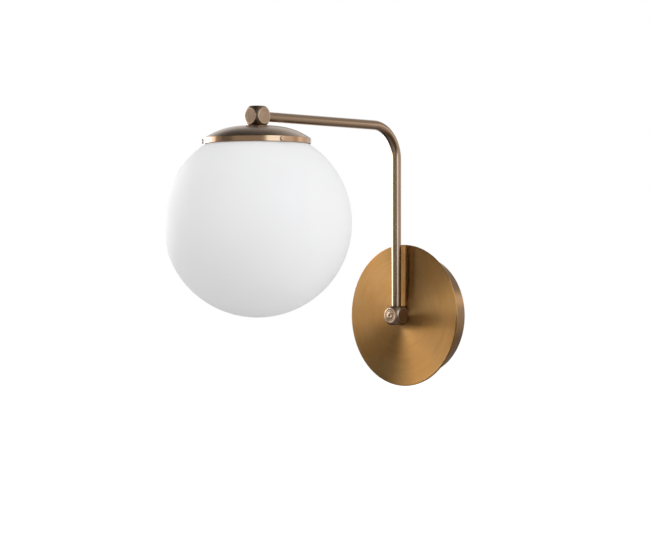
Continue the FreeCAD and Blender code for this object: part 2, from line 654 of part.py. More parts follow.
def arm_tube():
    """The upright, its bend and the level run, in one tube."""
    body = doc.addObject("PartDesign::Body", "arm_tube_body")
    route = draw(body, "arm_route", "YZ_Plane", [
        ("upright_y", "tube_foot"),
        ("upright_y", "bend_foot", "bend_radius", -1),
        ("bend_out", "arm_rise"),
        ("tube_tip", "arm_rise"),
    ], closed=False)
    section = body.newObject("Sketcher::SketchObject", "arm_section")
    section.AttachmentSupport = (plane_of(body, "XY_Plane"), [""])
    section.MapMode = "FlatFace"
    section.setExpression("AttachmentOffset.Base.z", "place.tube_foot")
    for word in ("tube_radius", "tube_bore"):
        ring = section.addGeometry(Part.Circle(V(0, number("upright_y"), 0), V(0, 0, 1), number(word)))
        hold_point(section, ring, 3, "0", "upright_y")
        held = section.addConstraint(Sketcher.Constraint("Radius", ring, number(word)))
        section.setExpression("Constraints[%d]" % held, full_name(word))
    pipe = body.newObject("PartDesign::AdditivePipe", "arm_pipe")
    pipe.Profile = section
    pipe.Spine = (route, ["Edge1", "Edge2", "Edge3"])
    body.Tip = pipe
    node(body, "arm_tube")


def screw_turn(index):
    """How far round the band each globe screw stands, evenly spaced."""
    return FreeCAD.Rotation(V(0, 0, 1), number("globe_screw_angle") + index * 360 / GLOBE_SCREWS)


def dome_cap():
    """The shallow dome with its upright band, bored for the stem and the three globe screws."""
    corners = [
        ("thread_hole", "cap_top"),
        ("crown_radius", "cap_top", "dome_arc", 1),
        ("cap_radius", "band_top"),
        ("cap_radius", "band_foot"),
        ("cap_bore", "band_foot"),
        ("cap_bore", "bore_top", "dome_arc_inside", -1),
        ("crown_radius", "cap_under"),
        ("thread_hole", "cap_under"),
    ]
    cap = turned("dome_cap", corners, y="-place.globe_out")
    holes = []
    for index in range(GLOBE_SCREWS):
        holes.append(rod("globe_screw_hole_%d" % (index + 1), "size.globe_screw_radius + size.screw_play",
                         "place.screw_head_top", y="-place.globe_out", z="place.band_middle", along="+x",
                         about=screw_turn(index)))
    node(cut("dome_cap", cap, holes), "dome_cap")


def globe_screws():
    """The slotted screws round the band, each with its own sub-part."""
    for index in range(GLOBE_SCREWS):
        label = "globe_screw_%d" % (index + 1)
        shank = rod(label + "_shank", "size.globe_screw_radius", "place.screw_head_foot - place.screw_tip",
                    x="place.screw_tip", along="+x")
        head = rod(label + "_head", "size.globe_screw_head", "size.globe_screw_head_height",
                   x="place.screw_head_foot", along="+x")
        slot_cut = block(label + "_slot", "size.globe_screw_slot", "size.globe_screw_head * 2",
                         "size.globe_screw_slot", x="place.screw_head_top - size.globe_screw_slot",
                         y="-size.globe_screw_head", z="-size.globe_screw_slot / 2")
        screw = cut(label, joined(label + "_solid", [shank, head]), [slot_cut])
        put(screw, y="-place.globe_out", z="place.band_middle", turn=screw_turn(index))
        node(screw, label)


def cap_fixings():
    """The hollow stem under the upper knuckle and the nut that holds the cap to it."""
    length = "place.stem_top - place.stem_foot"
    node(hollow_thread("cap_stem", length, y="-place.globe_out", z="place.stem_foot"), "cap_stem")
    node(lock_nut("cap_nut", y="-place.globe_out", z="place.cap_nut_foot"), "cap_nut")


def globe():
    """The opal glass globe with its short plain neck."""
    corners = [
        ("0", "globe_bottom", "globe_radius", -1),
        ("neck_radius", "neck_foot"),
        ("neck_radius", "neck_top"),
        ("neck_bore", "neck_top"),
        ("neck_bore", "neck_root", "globe_inside", 1),
        ("0", "globe_floor"),
    ]
    node(turned("globe", corners, y="-place.globe_out"), "globe")


def neck_gasket():
    """The soft ring between the globe's neck and the dome."""
    corners = [
        ("neck_bore", "neck_top"),
        ("neck_radius", "neck_top"),
        ("neck_radius", "gasket_top"),
        ("neck_bore", "gasket_top"),
    ]
    node(turned("neck_gasket", corners, y="-place.globe_out"), "neck_gasket")


def lampholder():
    """The small screw lampholder: cap, skirt, ceramic carrier, thread shell and centre contact."""
    cap = [
        ("thread_hole", "holder_top"),
        ("holder_shoulder", "holder_top"),
        ("holder_radius", "holder_slope_foot"),
        ("holder_radius", "holder_foot"),
        ("holder_inside", "holder_foot"),
        ("holder_inside", "holder_ceiling"),
        ("thread_hole", "holder_ceiling"),
    ]
    node(turned("holder_cap", cap, y="-place.globe_out"), "holder_cap")
    skirt = [
        ("skirt_bore", "spigot_top"),
        ("spigot_radius", "spigot_top"),
        ("spigot_radius", "holder_foot"),
        ("skirt_radius", "holder_foot"),
        ("skirt_radius", "skirt_foot"),
        ("skirt_bore", "skirt_foot"),
    ]
    node(turned("holder_skirt", skirt, y="-place.globe_out"), "holder_skirt")
    carrier = [
        ("0", "carrier_top"),
        ("carrier_radius", "carrier_top"),
        ("carrier_radius", "carrier_foot"),
        ("carrier_bore", "carrier_foot"),
        ("carrier_bore", "carrier_ceiling"),
        ("0", "carrier_ceiling"),
    ]
    node(turned("holder_carrier", carrier, y="-place.globe_out"), "holder_carrier")
    shell = [
        ("shell_inside", "carrier_ceiling"),
        ("shell_radius", "carrier_ceiling"),
        ("shell_radius", "shell_foot"),
        ("shell_inside", "shell_foot"),
    ]
    node(turned("thread_shell", shell, y="-place.globe_out"), "thread_shell")
    contact = rod("centre_contact_rod", "size.contact_radius", "size.contact_height", y="-place.globe_out",
                  z="place.contact_foot")
    node(contact, "centre_contact")


def holder_terminals():
    """The two brass blocks on the carrier that take the cores, each with a screw from the outer side."""
    wire_x = "size.terminal_apart"
    edge = "size.terminal_size"
    blocks = []
    screws = []
    for name, sign, side in (("live", "-", "-x"), ("neutral", "", "+x")):
        middle = sign + wire_x
        solid = block("holder_terminal_" + name, edge, edge, edge, x=middle + " - size.terminal_size / 2",
                      y="-place.globe_out - size.terminal_size / 2", z="place.carrier_top")
        core_hole = rod(name + "_terminal_way", "size.core_radius + size.core_play", "size.terminal_size",
                        x=middle, y="-place.globe_out",
                        z="place.carrier_top + size.terminal_size - size.core_end")
        screw_height = "place.carrier_top + size.terminal_size / 2"
        screw_hole = rod(name + "_terminal_thread", "size.side_screw_radius + size.screw_play",
                         "size.terminal_size", x=middle, y="-place.globe_out", z=screw_height, along=side)
        blocks.append(cut(name + "_terminal", solid, [core_hole, screw_hole]))
        tip = "(" + wire_x + " + size.core_radius + size.core_play)"
        screws.append(rod(name + "_side_screw", "size.side_screw_radius",
                          "size.terminal_size / 2 - size.core_radius - size.core_play + size.side_screw_out",
                          x=sign + tip, y="-place.globe_out", z=screw_height, along=side))
    node(group("holder_terminals", blocks), "holder_terminals")
    node(group("holder_terminal_screws", screws), "holder_terminal_screws")


def bulb():
    """The golf ball bulb: glass, screw base, insulator and end contact."""
    glass = [
        ("0", "bulb_bottom", "bulb_radius", -1),
        ("bulb_neck", "bulb_neck_foot"),
        ("base_radius", "base_foot"),
        ("glass_plug", "base_foot"),
        ("glass_plug", "glass_plug_top"),
        ("glass_plug_bore", "glass_plug_top"),
        ("glass_plug_bore", "base_foot"),
        ("bulb_neck_bore", "bulb_neck_root", "bulb_inside", 1),
        ("0", "bulb_floor"),
    ]
    node(turned("bulb_glass", glass, y="-place.globe_out"), "bulb_glass")
    shell = [
        ("base_bore", "base_foot"),
        ("base_radius", "base_foot"),
        ("base_radius", "base_top"),
        ("base_bore", "base_top"),
    ]
    node(turned("bulb_base", shell, y="-place.globe_out"), "bulb_base")
    node(rod("bulb_insulator_rod", "place.base_bore", "size.base_insulator", y="-place.globe_out",
             z="place.base_top - size.base_insulator"), "bulb_insulator")
    contact = rod("bulb_contact_rod", "size.tip_radius", "size.tip_height", y="-place.globe_out",
                  z="place.base_top")
    node(contact, "bulb_contact")


def pole_x(index):
    """The sideways place of one pole of the terminal block: live, neutral or earth."""
    return "(%d * size.pole_pitch)" % (index - 1)


def terminal_block():
    """The three pole block on the bracket, with its brass sleeves, six wire screws and fixing screw."""
    body = block("block_body", "place.block_width", "size.block_depth", "size.block_height",
                 x="-place.block_width / 2", y="-place.block_front", z="place.block_foot")
    holes = [rod("block_fixing_hole", "size.block_screw_radius + size.screw_play", "place.block_front",
                 x="size.pole_pitch / 2", z="place.block_middle", along="-y")]
    sleeves = []
    screws = []
    for index in range(3):
        x = pole_x(index)
        holes.append(rod("pole_way_%d" % index, "size.sleeve_radius + size.screw_play", "size.block_height",
                         x=x, y="-place.block_axis_out", z="place.block_foot"))
        sleeve_foot = "place.block_middle - size.sleeve_length / 2"
        sleeve = rod("sleeve_rod_%d" % index, "size.sleeve_radius", "size.sleeve_length", x=x,
                     y="-place.block_axis_out", z=sleeve_foot)
        ways = [rod("sleeve_way_%d" % index, "size.sleeve_bore", "size.sleeve_length", x=x,
                    y="-place.block_axis_out", z=sleeve_foot)]
        for end, sign in (("low", "-"), ("high", "+")):
            name = "%s_%d" % (end, index)
            z = "place.block_middle " + sign + " size.pinch_spacing / 2"
            bore = "size.pinch_screw_radius + size.screw_play"
            holes.append(rod("screw_way_" + name, bore, "size.block_depth", x=x,
                             y="-place.block_axis_out", z=z, along="-y"))
            ways.append(rod("sleeve_thread_" + name, bore, "size.sleeve_radius * 2", x=x,
                            y="-place.block_axis_out", z=z, along="-y"))
            tip = "place.block_axis_out + size.core_radius + size.core_play"
            screws.append(rod("pinch_screw_" + name, "size.pinch_screw_radius", "size.pinch_screw_length",
                              x=x, y="-(" + tip + ")", z=z, along="-y"))
        sleeves.append(cut("sleeve_%d" % index, sleeve, ways))
    node(cut("terminal_block", body, holes), "terminal_block")
    node(group("terminal_sleeves", sleeves), "terminal_sleeves")
    node(group("terminal_screws", screws), "terminal_screws")
    shank = rod("block_screw_shank", "size.block_screw_radius", "place.block_front", x="size.pole_pitch / 2",
                z="place.block_middle", along="-y")
    head = rod("block_screw_head_rod", "size.block_screw_head", "size.block_screw_head_height",
               x="size.pole_pitch / 2", y="-place.block_front", z="place.block_middle", along="-y")
    node(joined("block_screw", [shank, head]), "block_screw")


def earth_tag():
    """The earth tag under its screw, with the barrel that the earth core is crimped into."""
    outside = "size.bracket_thickness"
    barrel_out = "place.tag_barrel_out"
    ring = rod("tag_ring", "size.tag_radius", "size.tag_thickness", x="size.earth_x", y="-" + outside,
               z="size.earth_z", along="-y")
    tongue = block("tag_tongue", "size.tag_barrel * 2", "size.tag_thickness", "place.tag_drop",
                   x="size.earth_x - size.tag_barrel", y="-place.tag_face", z="size.earth_z - place.tag_drop")
    barrel = rod("tag_barrel_rod", "size.tag_barrel", "size.tag_barrel_length", x="size.earth_x",
                 y="-" + barrel_out, z="place.tag_barrel_foot")
    screw_hole = rod("tag_screw_hole", "size.canopy_screw_radius + size.screw_play", "place.tag_face * 2",
                     x="size.earth_x", z="size.earth_z", along="-y")
    core_hole = rod("tag_core_hole", "size.core_radius + size.core_play", "size.tag_barrel_length",
                    x="size.earth_x", y="-" + barrel_out, z="place.tag_barrel_foot")
    node(cut("earth_tag", joined("tag_sheet", [ring, tongue, barrel]), [screw_hole, core_hole]), "earth_tag")
    node(pan_screw("earth_screw", "size.earth_x", "-place.tag_face", "size.earth_z", "+y", "place.tag_face"),
         "earth_screw")


def block_cores():
    """The three cores between the terminal block, the lead's lower end and the earth tag."""
    axis_y = -number("block_axis_out")
    pitch = number("pole_pitch")
    core_foot = number("block_middle") + number("sleeve_length") / 2 - number("core_grip")
    sheath_end = -number("thread_back") + number("sheath_tail")
    apart = number("core_apart")
    radius = number("core_radius")
    bend_y = axis_y + number("core_lean")
    bend_z = number("block_top") + number("core_rise")
    for name, side, pole in (("live_core_lower", -1, -1), ("neutral_core_lower", 1, 0)):
        start = V(side * apart, sheath_end, 0)
        corner = V(side * apart, bend_y, 0)
        above_pole = V(pole * pitch, axis_y, bend_z)
        points = [start, corner, above_pole, V(pole * pitch, axis_y, core_foot)]
        node(wire_along(name, points, easy_turns(points), radius), name)
    barrel_y = -number("tag_barrel_out")
    barrel_foot = number("tag_barrel_foot")
    run = number("earth_run")
    points = [
        V(pitch, axis_y, core_foot),
        V(pitch, axis_y, number("block_top") + number("earth_rise")),
        V(number("earth_x"), barrel_y, barrel_foot - run),
        V(number("earth_x"), barrel_y, barrel_foot + run),
    ]
    node(wire_along("earth_core", points, easy_turns(points), radius), "earth_core")


def leads():
    """The round lead in two lengths that meet on the swing axis, and its cores in the lampholder."""
    out = number("knuckle_out")
    far = number("globe_out")
    rise = number("arm_rise")
    joint = number("lead_joint")
    turn = number("lead_turn")
    radius = number("lead_radius")
    sheath_end = -number("thread_back") + number("sheath_tail")
    lower = [V(0, sheath_end, 0), V(0, -out, 0), V(0, -out, joint)]
    node(wire_along("lead_lower", lower, [turn], radius), "lead_lower")
    foot = number("stem_foot") + number("sheath_tail")
    upper = [V(0, -out, joint), V(0, -out, rise), V(0, -far, rise), V(0, -far, foot)]
    node(wire_along("lead_upper", upper, [number("bend_radius"), turn], radius), "lead_upper")
    wire_end = number("carrier_top") + number("terminal_size") - number("core_end")
    drop = number("core_drop")
    for name, side in (("live_core_upper", -1), ("neutral_core_upper", 1)):
        inner = side * number("core_apart")
        outer = side * number("terminal_apart")
        points = [
            V(inner, -far, foot),
            V(inner, -far, foot - drop),
            V(outer, -far, foot - 2 * drop),
            V(outer, -far, wire_end),
        ]
        node(wire_along(name, points, easy_turns(points), number("core_radius")), name)


def check_and_write():
    """Stops if anything failed, and otherwise writes one file for each sub-part."""
    doc.recompute()
    failed = [thing.Label for thing in doc.Objects if "Invalid" in thing.State or "Error" in thing.State]
    if failed:
        raise RuntimeError("failed: " + ", ".join(failed))
    for thing in nodes:
        if thing.Shape.isNull() or not thing.Shape.isValid() or not thing.Shape.Solids:
            raise RuntimeError("no sound solid: " + thing.Label)
    os.makedirs("parts", exist_ok=True)
    for thing in nodes:
        thing.Shape.exportStep("parts/%s.step" % thing.Label)
    print("%d sub-parts written" % len(nodes))


wall_bracket()
canopy_drum()
front_disc()
canopy_screws()
canopy_fixings()
terminal_block()
earth_tag()
block_cores()
lower_knuckle()
arm_tube()
upper_knuckle()
leads()
cap_fixings()
dome_cap()
globe_screws()
neck_gasket()
globe()
lampholder()
holder_terminals()
bulb()
check_and_write()
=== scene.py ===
"""Globe wall sconce: the looks of a brushed brass wall lamp with an opal globe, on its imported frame."""
import json
import math

import bmesh
import bpy
from bpy.props import FloatProperty, FloatVectorProperty, IntProperty, PointerProperty
from bpy.types import Operator, Panel, PropertyGroup
from mathutils import Matrix, Vector


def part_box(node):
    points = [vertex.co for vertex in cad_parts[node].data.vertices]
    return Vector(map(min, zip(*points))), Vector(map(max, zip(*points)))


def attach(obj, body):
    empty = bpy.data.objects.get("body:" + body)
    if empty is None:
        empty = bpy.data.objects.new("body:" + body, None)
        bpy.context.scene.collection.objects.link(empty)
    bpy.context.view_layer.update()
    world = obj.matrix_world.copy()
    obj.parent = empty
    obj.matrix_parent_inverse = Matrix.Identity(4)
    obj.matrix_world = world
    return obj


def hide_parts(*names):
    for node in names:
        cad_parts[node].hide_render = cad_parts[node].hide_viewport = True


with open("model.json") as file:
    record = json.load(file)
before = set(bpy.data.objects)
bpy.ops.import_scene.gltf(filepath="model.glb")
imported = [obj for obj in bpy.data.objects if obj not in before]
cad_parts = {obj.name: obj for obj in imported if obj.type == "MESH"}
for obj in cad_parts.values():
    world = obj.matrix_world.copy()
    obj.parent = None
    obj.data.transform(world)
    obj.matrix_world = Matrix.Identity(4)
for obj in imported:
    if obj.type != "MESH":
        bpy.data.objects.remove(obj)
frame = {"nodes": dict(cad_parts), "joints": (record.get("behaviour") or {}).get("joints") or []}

bl_info = {
    "name": "Globe wall sconce",
    "version": (1, 0, 0),
    "blender": (4, 5, 0),
    "location": "View3D > Sidebar > Sconce",
    "description": "Builds the finished pieces of a brass globe wall lamp around its construction frame",
    "category": "Object",
}

MM = 0.001
UPRIGHT = Vector(next(joint for joint in frame["joints"] if joint["name"] == "arm_swing")["pos_m"])
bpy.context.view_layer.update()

# Where the lamp's two turning axes stand, and the way from a turning's own height to its place.
KNUCKLE_LOW, KNUCKLE_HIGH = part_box("lower_knuckle")
KNUCKLE_HALF = (KNUCKLE_HIGH.z - KNUCKLE_LOW.z) / 2
UPPER_LOW, UPPER_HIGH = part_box("upper_knuckle")
UPPER_KNUCKLE = (UPPER_LOW + UPPER_HIGH) / 2
GLOBE_AXIS = Vector((0.0, UPPER_KNUCKLE.y, 0.0))
ON_WALL = Matrix.Rotation(math.pi / 2, 4, "X")
ON_GLOBE_AXIS = Matrix.Translation(GLOBE_AXIS)

# Neighbouring faces of a frame node that lean less than this lie in one flat.
FLAT_ANGLE = math.radians(1.0)

# The turned mark in the lower knuckle's front: its dimple's outline, as reach and depth, and its two grooves.
DIMPLE = ((0.0, 0.35 * MM), (0.3 * MM, 0.3 * MM), (0.65 * MM, 0.06 * MM), (0.75 * MM, 0.0))
GROOVES = (3.4 * MM, 4.7 * MM)
GROOVE_WIDTH = 0.3 * MM
GROOVE_DEPTH = 0.1 * MM
GROOVE_FLANK = 0.12 * MM

# Where the painted highlight on a knuckle's rims fades in and out again, by distance from its centre.
RIM_HIGHLIGHT_STARTS = (9.7 * MM, 10.1 * MM)
RIM_HIGHLIGHT_ENDS = (10.15 * MM, 10.19 * MM)

# How finely the arm's tube is divided: round it, round its bend and along each straight run.
TUBE_SIDES = 64
BEND_STEPS = 32
RUN_STEPS = 24

# How finely a knuckle's side is divided: round its flat, and from there out to the cube's edges.
KNUCKLE_STEPS = 96
KNUCKLE_BANDS = 8

# The wide disc takes this many more segments than the drum, the cap and the globe.
DISC_MORE_STEPS = 64

# How far the pale floor reaches from its middle to each side, and its height from the middle of the slots.
FLOOR_REACH = 6.0
FLOOR_HEIGHT = -0.42


def length(name, description, default):
    """A size in metres that a user may change."""
    return FloatProperty(name=name, description=description, default=default, unit="LENGTH", precision=4)


def colour(name, description, default):
    """A colour that a user may change."""
    return FloatVectorProperty(name=name, description=description, default=default, subtype="COLOR",
                               size=3, min=0.0, max=1.0)


class SconceSizes(PropertyGroup):
    """Sizes of the lamp's visible forms."""
    disc_radius: length("Disc radius", "Outside of the front disc", 60.0 * MM)
    disc_back: length("Disc back", "Wall to the disc's back", 20.0 * MM)
    disc_front: length("Disc front", "Wall to the disc's face", 22.0 * MM)
    disc_edge: length("Disc edge", "Rounding of the disc's edges", 0.6 * MM)
    drum_radius: length("Drum radius", "Outside of the canopy drum", 50.5 * MM)
    drum_wall: length("Drum wall", "Sheet of the canopy drum", 1.2 * MM)
    hole_radius: length("Centre hole", "Hole for the hollow thread", 5.1 * MM)
    knuckle_ball: length("Knuckle turning", "Radius that rounds the cube knuckles", 10.2 * MM)
    tube_radius: length("Tube radius", "Outside of the arm tube", 4.0 * MM)
    tube_wall: length("Tube wall", "Wall of the arm tube", 1.0 * MM)
    bend_radius: length("Bend radius", "Centre line of the arm's bend", 28.0 * MM)
    cap_radius: length("Cap radius", "Outside of the cap's band", 42.7 * MM)
    cap_wall: length("Cap wall", "Sheet of the dome cap", 1.0 * MM)
    cap_top: length("Cap top", "Height of the cap's crown", 152.0 * MM)
    crown_radius: length("Crown radius", "Flat crown under the knuckle", 12.0 * MM)
    dome_rise: length("Dome rise", "Dome above its band", 9.9 * MM)
    band_height: length("Band height", "Upright band at the cap's foot", 4.3 * MM)
    globe_radius: length("Globe radius", "Outside of the opal globe", 75.0 * MM)
    globe_wall: length("Globe wall", "Thickness of the opal glass", 2.5 * MM)
    neck_radius: length("Neck radius", "Outside of the globe's neck", 40.0 * MM)
    steps: IntProperty(name="Turning steps", description="Segments round a turned piece", default=192,
                       min=24, max=512)


class SconceColours(PropertyGroup):
    """Colours of the lamp's finishes."""
    disc_light: colour("Disc light", "Brushed disc where the brush cut deepest", (0.51, 0.282, 0.100))
    disc_dark: colour("Disc dark", "Brushed disc between the brush lines", (0.41, 0.222, 0.072))
    arm_light: colour("Arm light", "Aged brass of the arm, rubbed", (0.34, 0.230, 0.150))
    arm_dark: colour("Arm dark", "Aged brass of the arm, browned", (0.27, 0.175, 0.108))
    knuckle_light: colour("Knuckle light", "Aged brass of the knuckles, rubbed", (0.40, 0.270, 0.175))
    knuckle_dark: colour("Knuckle dark", "Aged brass in the knuckles' mottling", (0.24, 0.160, 0.100))
    # The knuckle rim colour is a painted highlight on the rims of the knuckles' flats.
    knuckle_rim_highlight: colour("Knuckle rim", "Bare rims of the knuckles' flats", (0.70, 0.530, 0.370))
    band: colour("Band", "Polished band of the cap", (0.45, 0.280, 0.165))
    band_dark: colour("Band dark", "Polished band between its faint lines", (0.39, 0.235, 0.135))
    drum: colour("Drum", "Side of the canopy drum", (0.27, 0.157, 0.074))
    opal: colour("Opal glass", "White of the globe", (0.905, 0.905, 0.915))


class SconceStage(PropertyGroup):
    """The photograph's view and the light."""
    azimuth: FloatProperty(name="Azimuth", description="Camera round the lamp", default=math.radians(44.07),
                           unit="ROTATION")
    elevation: FloatProperty(name="Elevation", description="Camera above the horizon",
                             default=math.radians(-0.16), unit="ROTATION")
    distance: length("Distance", "Camera to the middle of its view", 1.7958)
    aim_out: length("Aim out", "Middle of the view, out from the wall", 0.090)
    aim_right: length("Aim right", "Middle of the view, to the camera's right", -0.01878)
    aim_up: length("Aim up", "Middle of the view, upwards", 0.03378)
    lens: FloatProperty(name="Lens", description="Focal length on a 36 mm wide frame", default=120.17,
                        unit="CAMERA")
    surround: FloatProperty(name="Surround", description="Strength of the white surroundings on the lamp",
                            default=0.68, min=0.0)


def arc(centre, radius, start, end, count):
    """Points of an arc in an outline, by angles in degrees from the outward direction."""
    angles = [math.radians(start + (end - start) * index / count) for index in range(count + 1)]
    return [(centre[0] + radius * math.cos(angle), centre[1] + radius * math.sin(angle)) for angle in angles]


def turn_outline(outline, steps, closed=True):
    """Spins an outline of (radius, height) points once round the local Z axis."""
    bm = bmesh.new()
    verts = [bm.verts.new((radius, 0.0, height)) for radius, height in outline]
    ends = verts[1:] + verts[:1] if closed else verts[1:]
    edges = [bm.edges.new(pair) for pair in zip(verts, ends)]
    bmesh.ops.spin(bm, geom=verts + edges, cent=(0, 0, 0), axis=(0, 0, 1), angle=2 * math.pi,
                   steps=steps, use_merge=True)
    bmesh.ops.remove_doubles(bm, verts=bm.verts, dist=1e-7)
    bmesh.ops.dissolve_degenerate(bm, edges=bm.edges, dist=1e-8)
    bmesh.ops.recalc_face_normals(bm, faces=bm.faces)
    return bm


def ease_edges(bm, width, segments=3, angle=30.0):
    """Rounds every edge that is sharper than an angle in degrees."""
    bm.normal_update()
    sharp = [edge for edge in bm.edges if len(edge.link_faces) == 2
             and edge.calc_face_angle(0.0) > math.radians(angle)]
    bmesh.ops.bevel(bm, geom=sharp, offset=width, offset_type="OFFSET", segments=segments, profile=0.5,
                    affect="EDGES", clamp_overlap=True, material=-1)


def make_piece(bm, name, body, material, replaced=()):
    """Turns a bmesh into a finished piece that rides on a body and stands for some frame nodes."""
    mesh = bpy.data.meshes.new(name)
    bm.to_mesh(mesh)
    bm.free()
    mesh.shade_smooth()
    mesh.materials.append(material)
    piece = bpy.data.objects.new(name, mesh)
    bpy.context.scene.collection.objects.link(piece)
    weighted = piece.modifiers.new("even_shading", "WEIGHTED_NORMAL")
    weighted.weight = 100
    weighted.keep_sharp = True
    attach(piece, body)
    if replaced:
        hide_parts(*replaced)
    return piece


def eased_copy(node, name, body, material, width):
    """A copy of a frame node with its flat faces cleaned up and its edges rounded."""
    bm = bmesh.new()
    bm.from_mesh(frame["nodes"][node].data)
    bmesh.ops.remove_doubles(bm, verts=bm.verts, dist=1e-6)
    bmesh.ops.dissolve_limit(bm, angle_limit=FLAT_ANGLE, use_dissolve_boundaries=False,
                             verts=bm.verts, edges=bm.edges)
    ease_edges(bm, width, segments=2, angle=35.0)
    bmesh.ops.triangulate(bm, faces=[face for face in bm.faces if len(face.verts) > 4])
    return make_piece(bm, name, body, material, (node,))


class Shader:
    """A material that is put together node by node."""

    def __init__(self, name, colour, metallic=0.0, roughness=0.5):
        self.material = bpy.data.materials.new(name)
        self.material.use_nodes = True
        self.tree = self.material.node_tree
        self.surface = self.tree.nodes["Principled BSDF"]
        self.set("Base Color", (*colour, 1.0))
        self.set("Metallic", metallic)
        self.set("Roughness", roughness)

    def set(self, socket, value):
        """A constant on the surface's own socket."""
        self.surface.inputs[socket].default_value = value

    def node(self, kind, **settings):
        """A new node with its settings."""
        made = self.tree.nodes.new(kind)
        for key, value in settings.items():
            setattr(made, key, value)
        return made

    def link(self, source, target):
        """Joins two sockets."""
        self.tree.links.new(source, target)

    def feed(self, target, value):
        """Gives a node's socket another node's output, or a constant."""
        if isinstance(value, bpy.types.NodeSocket):
            self.link(value, target)
        else:
            target.default_value = value

    def place(self, offset=(0, 0, 0), scale=(1, 1, 1)):
        """Object coordinates in metres, moved and stretched."""
        where = self.node("ShaderNodeTexCoord").outputs["Object"]
        mapping = self.node("ShaderNodeMapping")
        mapping.inputs["Location"].default_value = offset
        mapping.inputs["Scale"].default_value = scale
        self.link(where, mapping.inputs["Vector"])
        return mapping.outputs["Vector"]

    def maths(self, operation, first, second=0.0):
        """One step of arithmetic on a value, or on two."""
        made = self.node("ShaderNodeMath", operation=operation)
        self.feed(made.inputs[0], first)
        self.feed(made.inputs[1], second)
        return made.outputs[0]

    def vector(self, operation, first, second=(0, 0, 0)):
        """One step of vector arithmetic."""
        made = self.node("ShaderNodeVectorMath", operation=operation)
        self.feed(made.inputs[0], first)
        self.feed(made.inputs[1], second)
        return made.outputs["Value"] if operation in ("LENGTH", "DOT_PRODUCT") else made.outputs["Vector"]

    def noise(self, where, scale, detail=4.0, roughness=0.55, along=None):
        """Noise at a place, drawn out along a fourth value where one is given."""
        made = self.node("ShaderNodeTexNoise", noise_dimensions="4D" if along is not None else "3D")
        self.link(where, made.inputs["Vector"])
        made.inputs["Scale"].default_value = scale
        made.inputs["Detail"].default_value = detail
        made.inputs["Roughness"].default_value = roughness
        if along is not None:
            self.feed(made.inputs["W"], along)
        return made.outputs["Fac"]

    def spread(self, value, low, high, from_low=0.3, from_high=0.7):
        """A value moved from one range to another."""
        made = self.node("ShaderNodeMapRange")
        self.feed(made.inputs["Value"], value)
        made.inputs["From Min"].default_value = from_low
        made.inputs["From Max"].default_value = from_high
        made.inputs["To Min"].default_value = low
        made.inputs["To Max"].default_value = high
        return made.outputs["Result"]

    def blend(self, factor, first, second, kind="MIX"):
        """A mix of two colours, each a constant or a node's output."""
        made = self.node("ShaderNodeMix", data_type="RGBA", blend_type=kind)
        self.feed(made.inputs["Factor"], factor)
        for socket, value in ((made.inputs[6], first), (made.inputs[7], second)):
            self.feed(socket, value if isinstance(value, bpy.types.NodeSocket) else (*value, 1.0))
        return made.outputs[2]

    def rough(self, value):
        """Roughness from a node."""
        self.link(value, self.surface.inputs["Roughness"])

    def paint(self, value):
        """Colour from a node."""
        self.link(value, self.surface.inputs["Base Color"])

    def relief(self, height, depth):
        """Fine relief in metres from a node's value."""
        bump = self.node("ShaderNodeBump")
        bump.inputs["Strength"].default_value = 1.0
        bump.inputs["Distance"].default_value = depth
        self.link(height, bump.inputs["Height"])
        self.link(bump.outputs["Normal"], self.surface.inputs["Normal"])

    def lacquer(self, weight=0.6, roughness=0.3):
        """A thin clear lacquer over the metal."""
        self.set("Coat Weight", weight)
        self.set("Coat Roughness", roughness)

    def turning(self, centre, axis):
        """Outward direction, radius and height of a piece that was turned about an axis through a point."""
        local = self.place(offset=tuple(-value for value in centre))
        flat_scale = tuple(1.0 - abs(value) for value in axis)
        flat = self.vector("MULTIPLY", local, flat_scale)
        outward = self.vector("NORMALIZE", flat)
        return outward, self.vector("LENGTH", flat), self.vector("DOT_PRODUCT", local, axis)

    def grain_round(self, outward, axis, amount):
        """Stretches highlights across the marks that run round the axis."""
        around = self.vector("CROSS_PRODUCT", outward, axis)
        turned = self.node("ShaderNodeVectorTransform", vector_type="VECTOR", convert_from="OBJECT",
                           convert_to="WORLD")
        self.link(around, turned.inputs["Vector"])
        self.link(turned.outputs["Vector"], self.surface.inputs["Tangent"])
        self.set("Anisotropic", amount)
        self.set("Anisotropic Rotation", 0.25)


# What the browner patches of the patina do to the brass under them.
PATINA = (0.98, 0.91, 0.78)
WALL_AXIS = (0.0, 1.0, 0.0)
PLUMB = (0.0, 0.0, 1.0)


def turned_brass(name, light, dark, centre, axis, lines, roughness, grain, depth, changes=1.6, coat=0.6,
                 patina=0.0):
    """Brass with fine lines round an axis: more lines pack them closer, more changes also shorten them."""
    finish = Shader(name, light, metallic=1.0, roughness=roughness[0])
    outward, radius, height = finish.turning(centre, axis)
    across = finish.maths("MULTIPLY", finish.maths("ADD", radius, height), lines)
    fine = finish.noise(outward, changes, detail=3.0, along=across)
    coarse = finish.noise(outward, changes * 0.6, detail=2.0, along=finish.maths("MULTIPLY", across, 0.13))
    cloud = finish.noise(finish.place(), 26.0, detail=3.0)
    tone = finish.maths("ADD", finish.maths("MULTIPLY", fine, 0.4), finish.maths("MULTIPLY", coarse, 0.3))
    tone = finish.maths("ADD", tone, finish.maths("MULTIPLY", cloud, 0.3))
    aged = finish.blend(finish.spread(tone, 0.0, 1.0, 0.36, 0.62), dark, light)
    browned = finish.blend(1.0, aged, PATINA, "MULTIPLY")
    patches = finish.noise(finish.place(offset=(0.3, 0.1, 0.2)), 34.0, detail=2.0)
    finish.paint(finish.blend(finish.spread(patches, 0.0, patina, 0.42, 0.62), aged, browned))
    finish.rough(finish.spread(tone, roughness[1], roughness[0], 0.36, 0.62))
    finish.relief(fine, depth)
    finish.grain_round(outward, axis, grain)
    finish.lacquer(coat)
    return finish.material


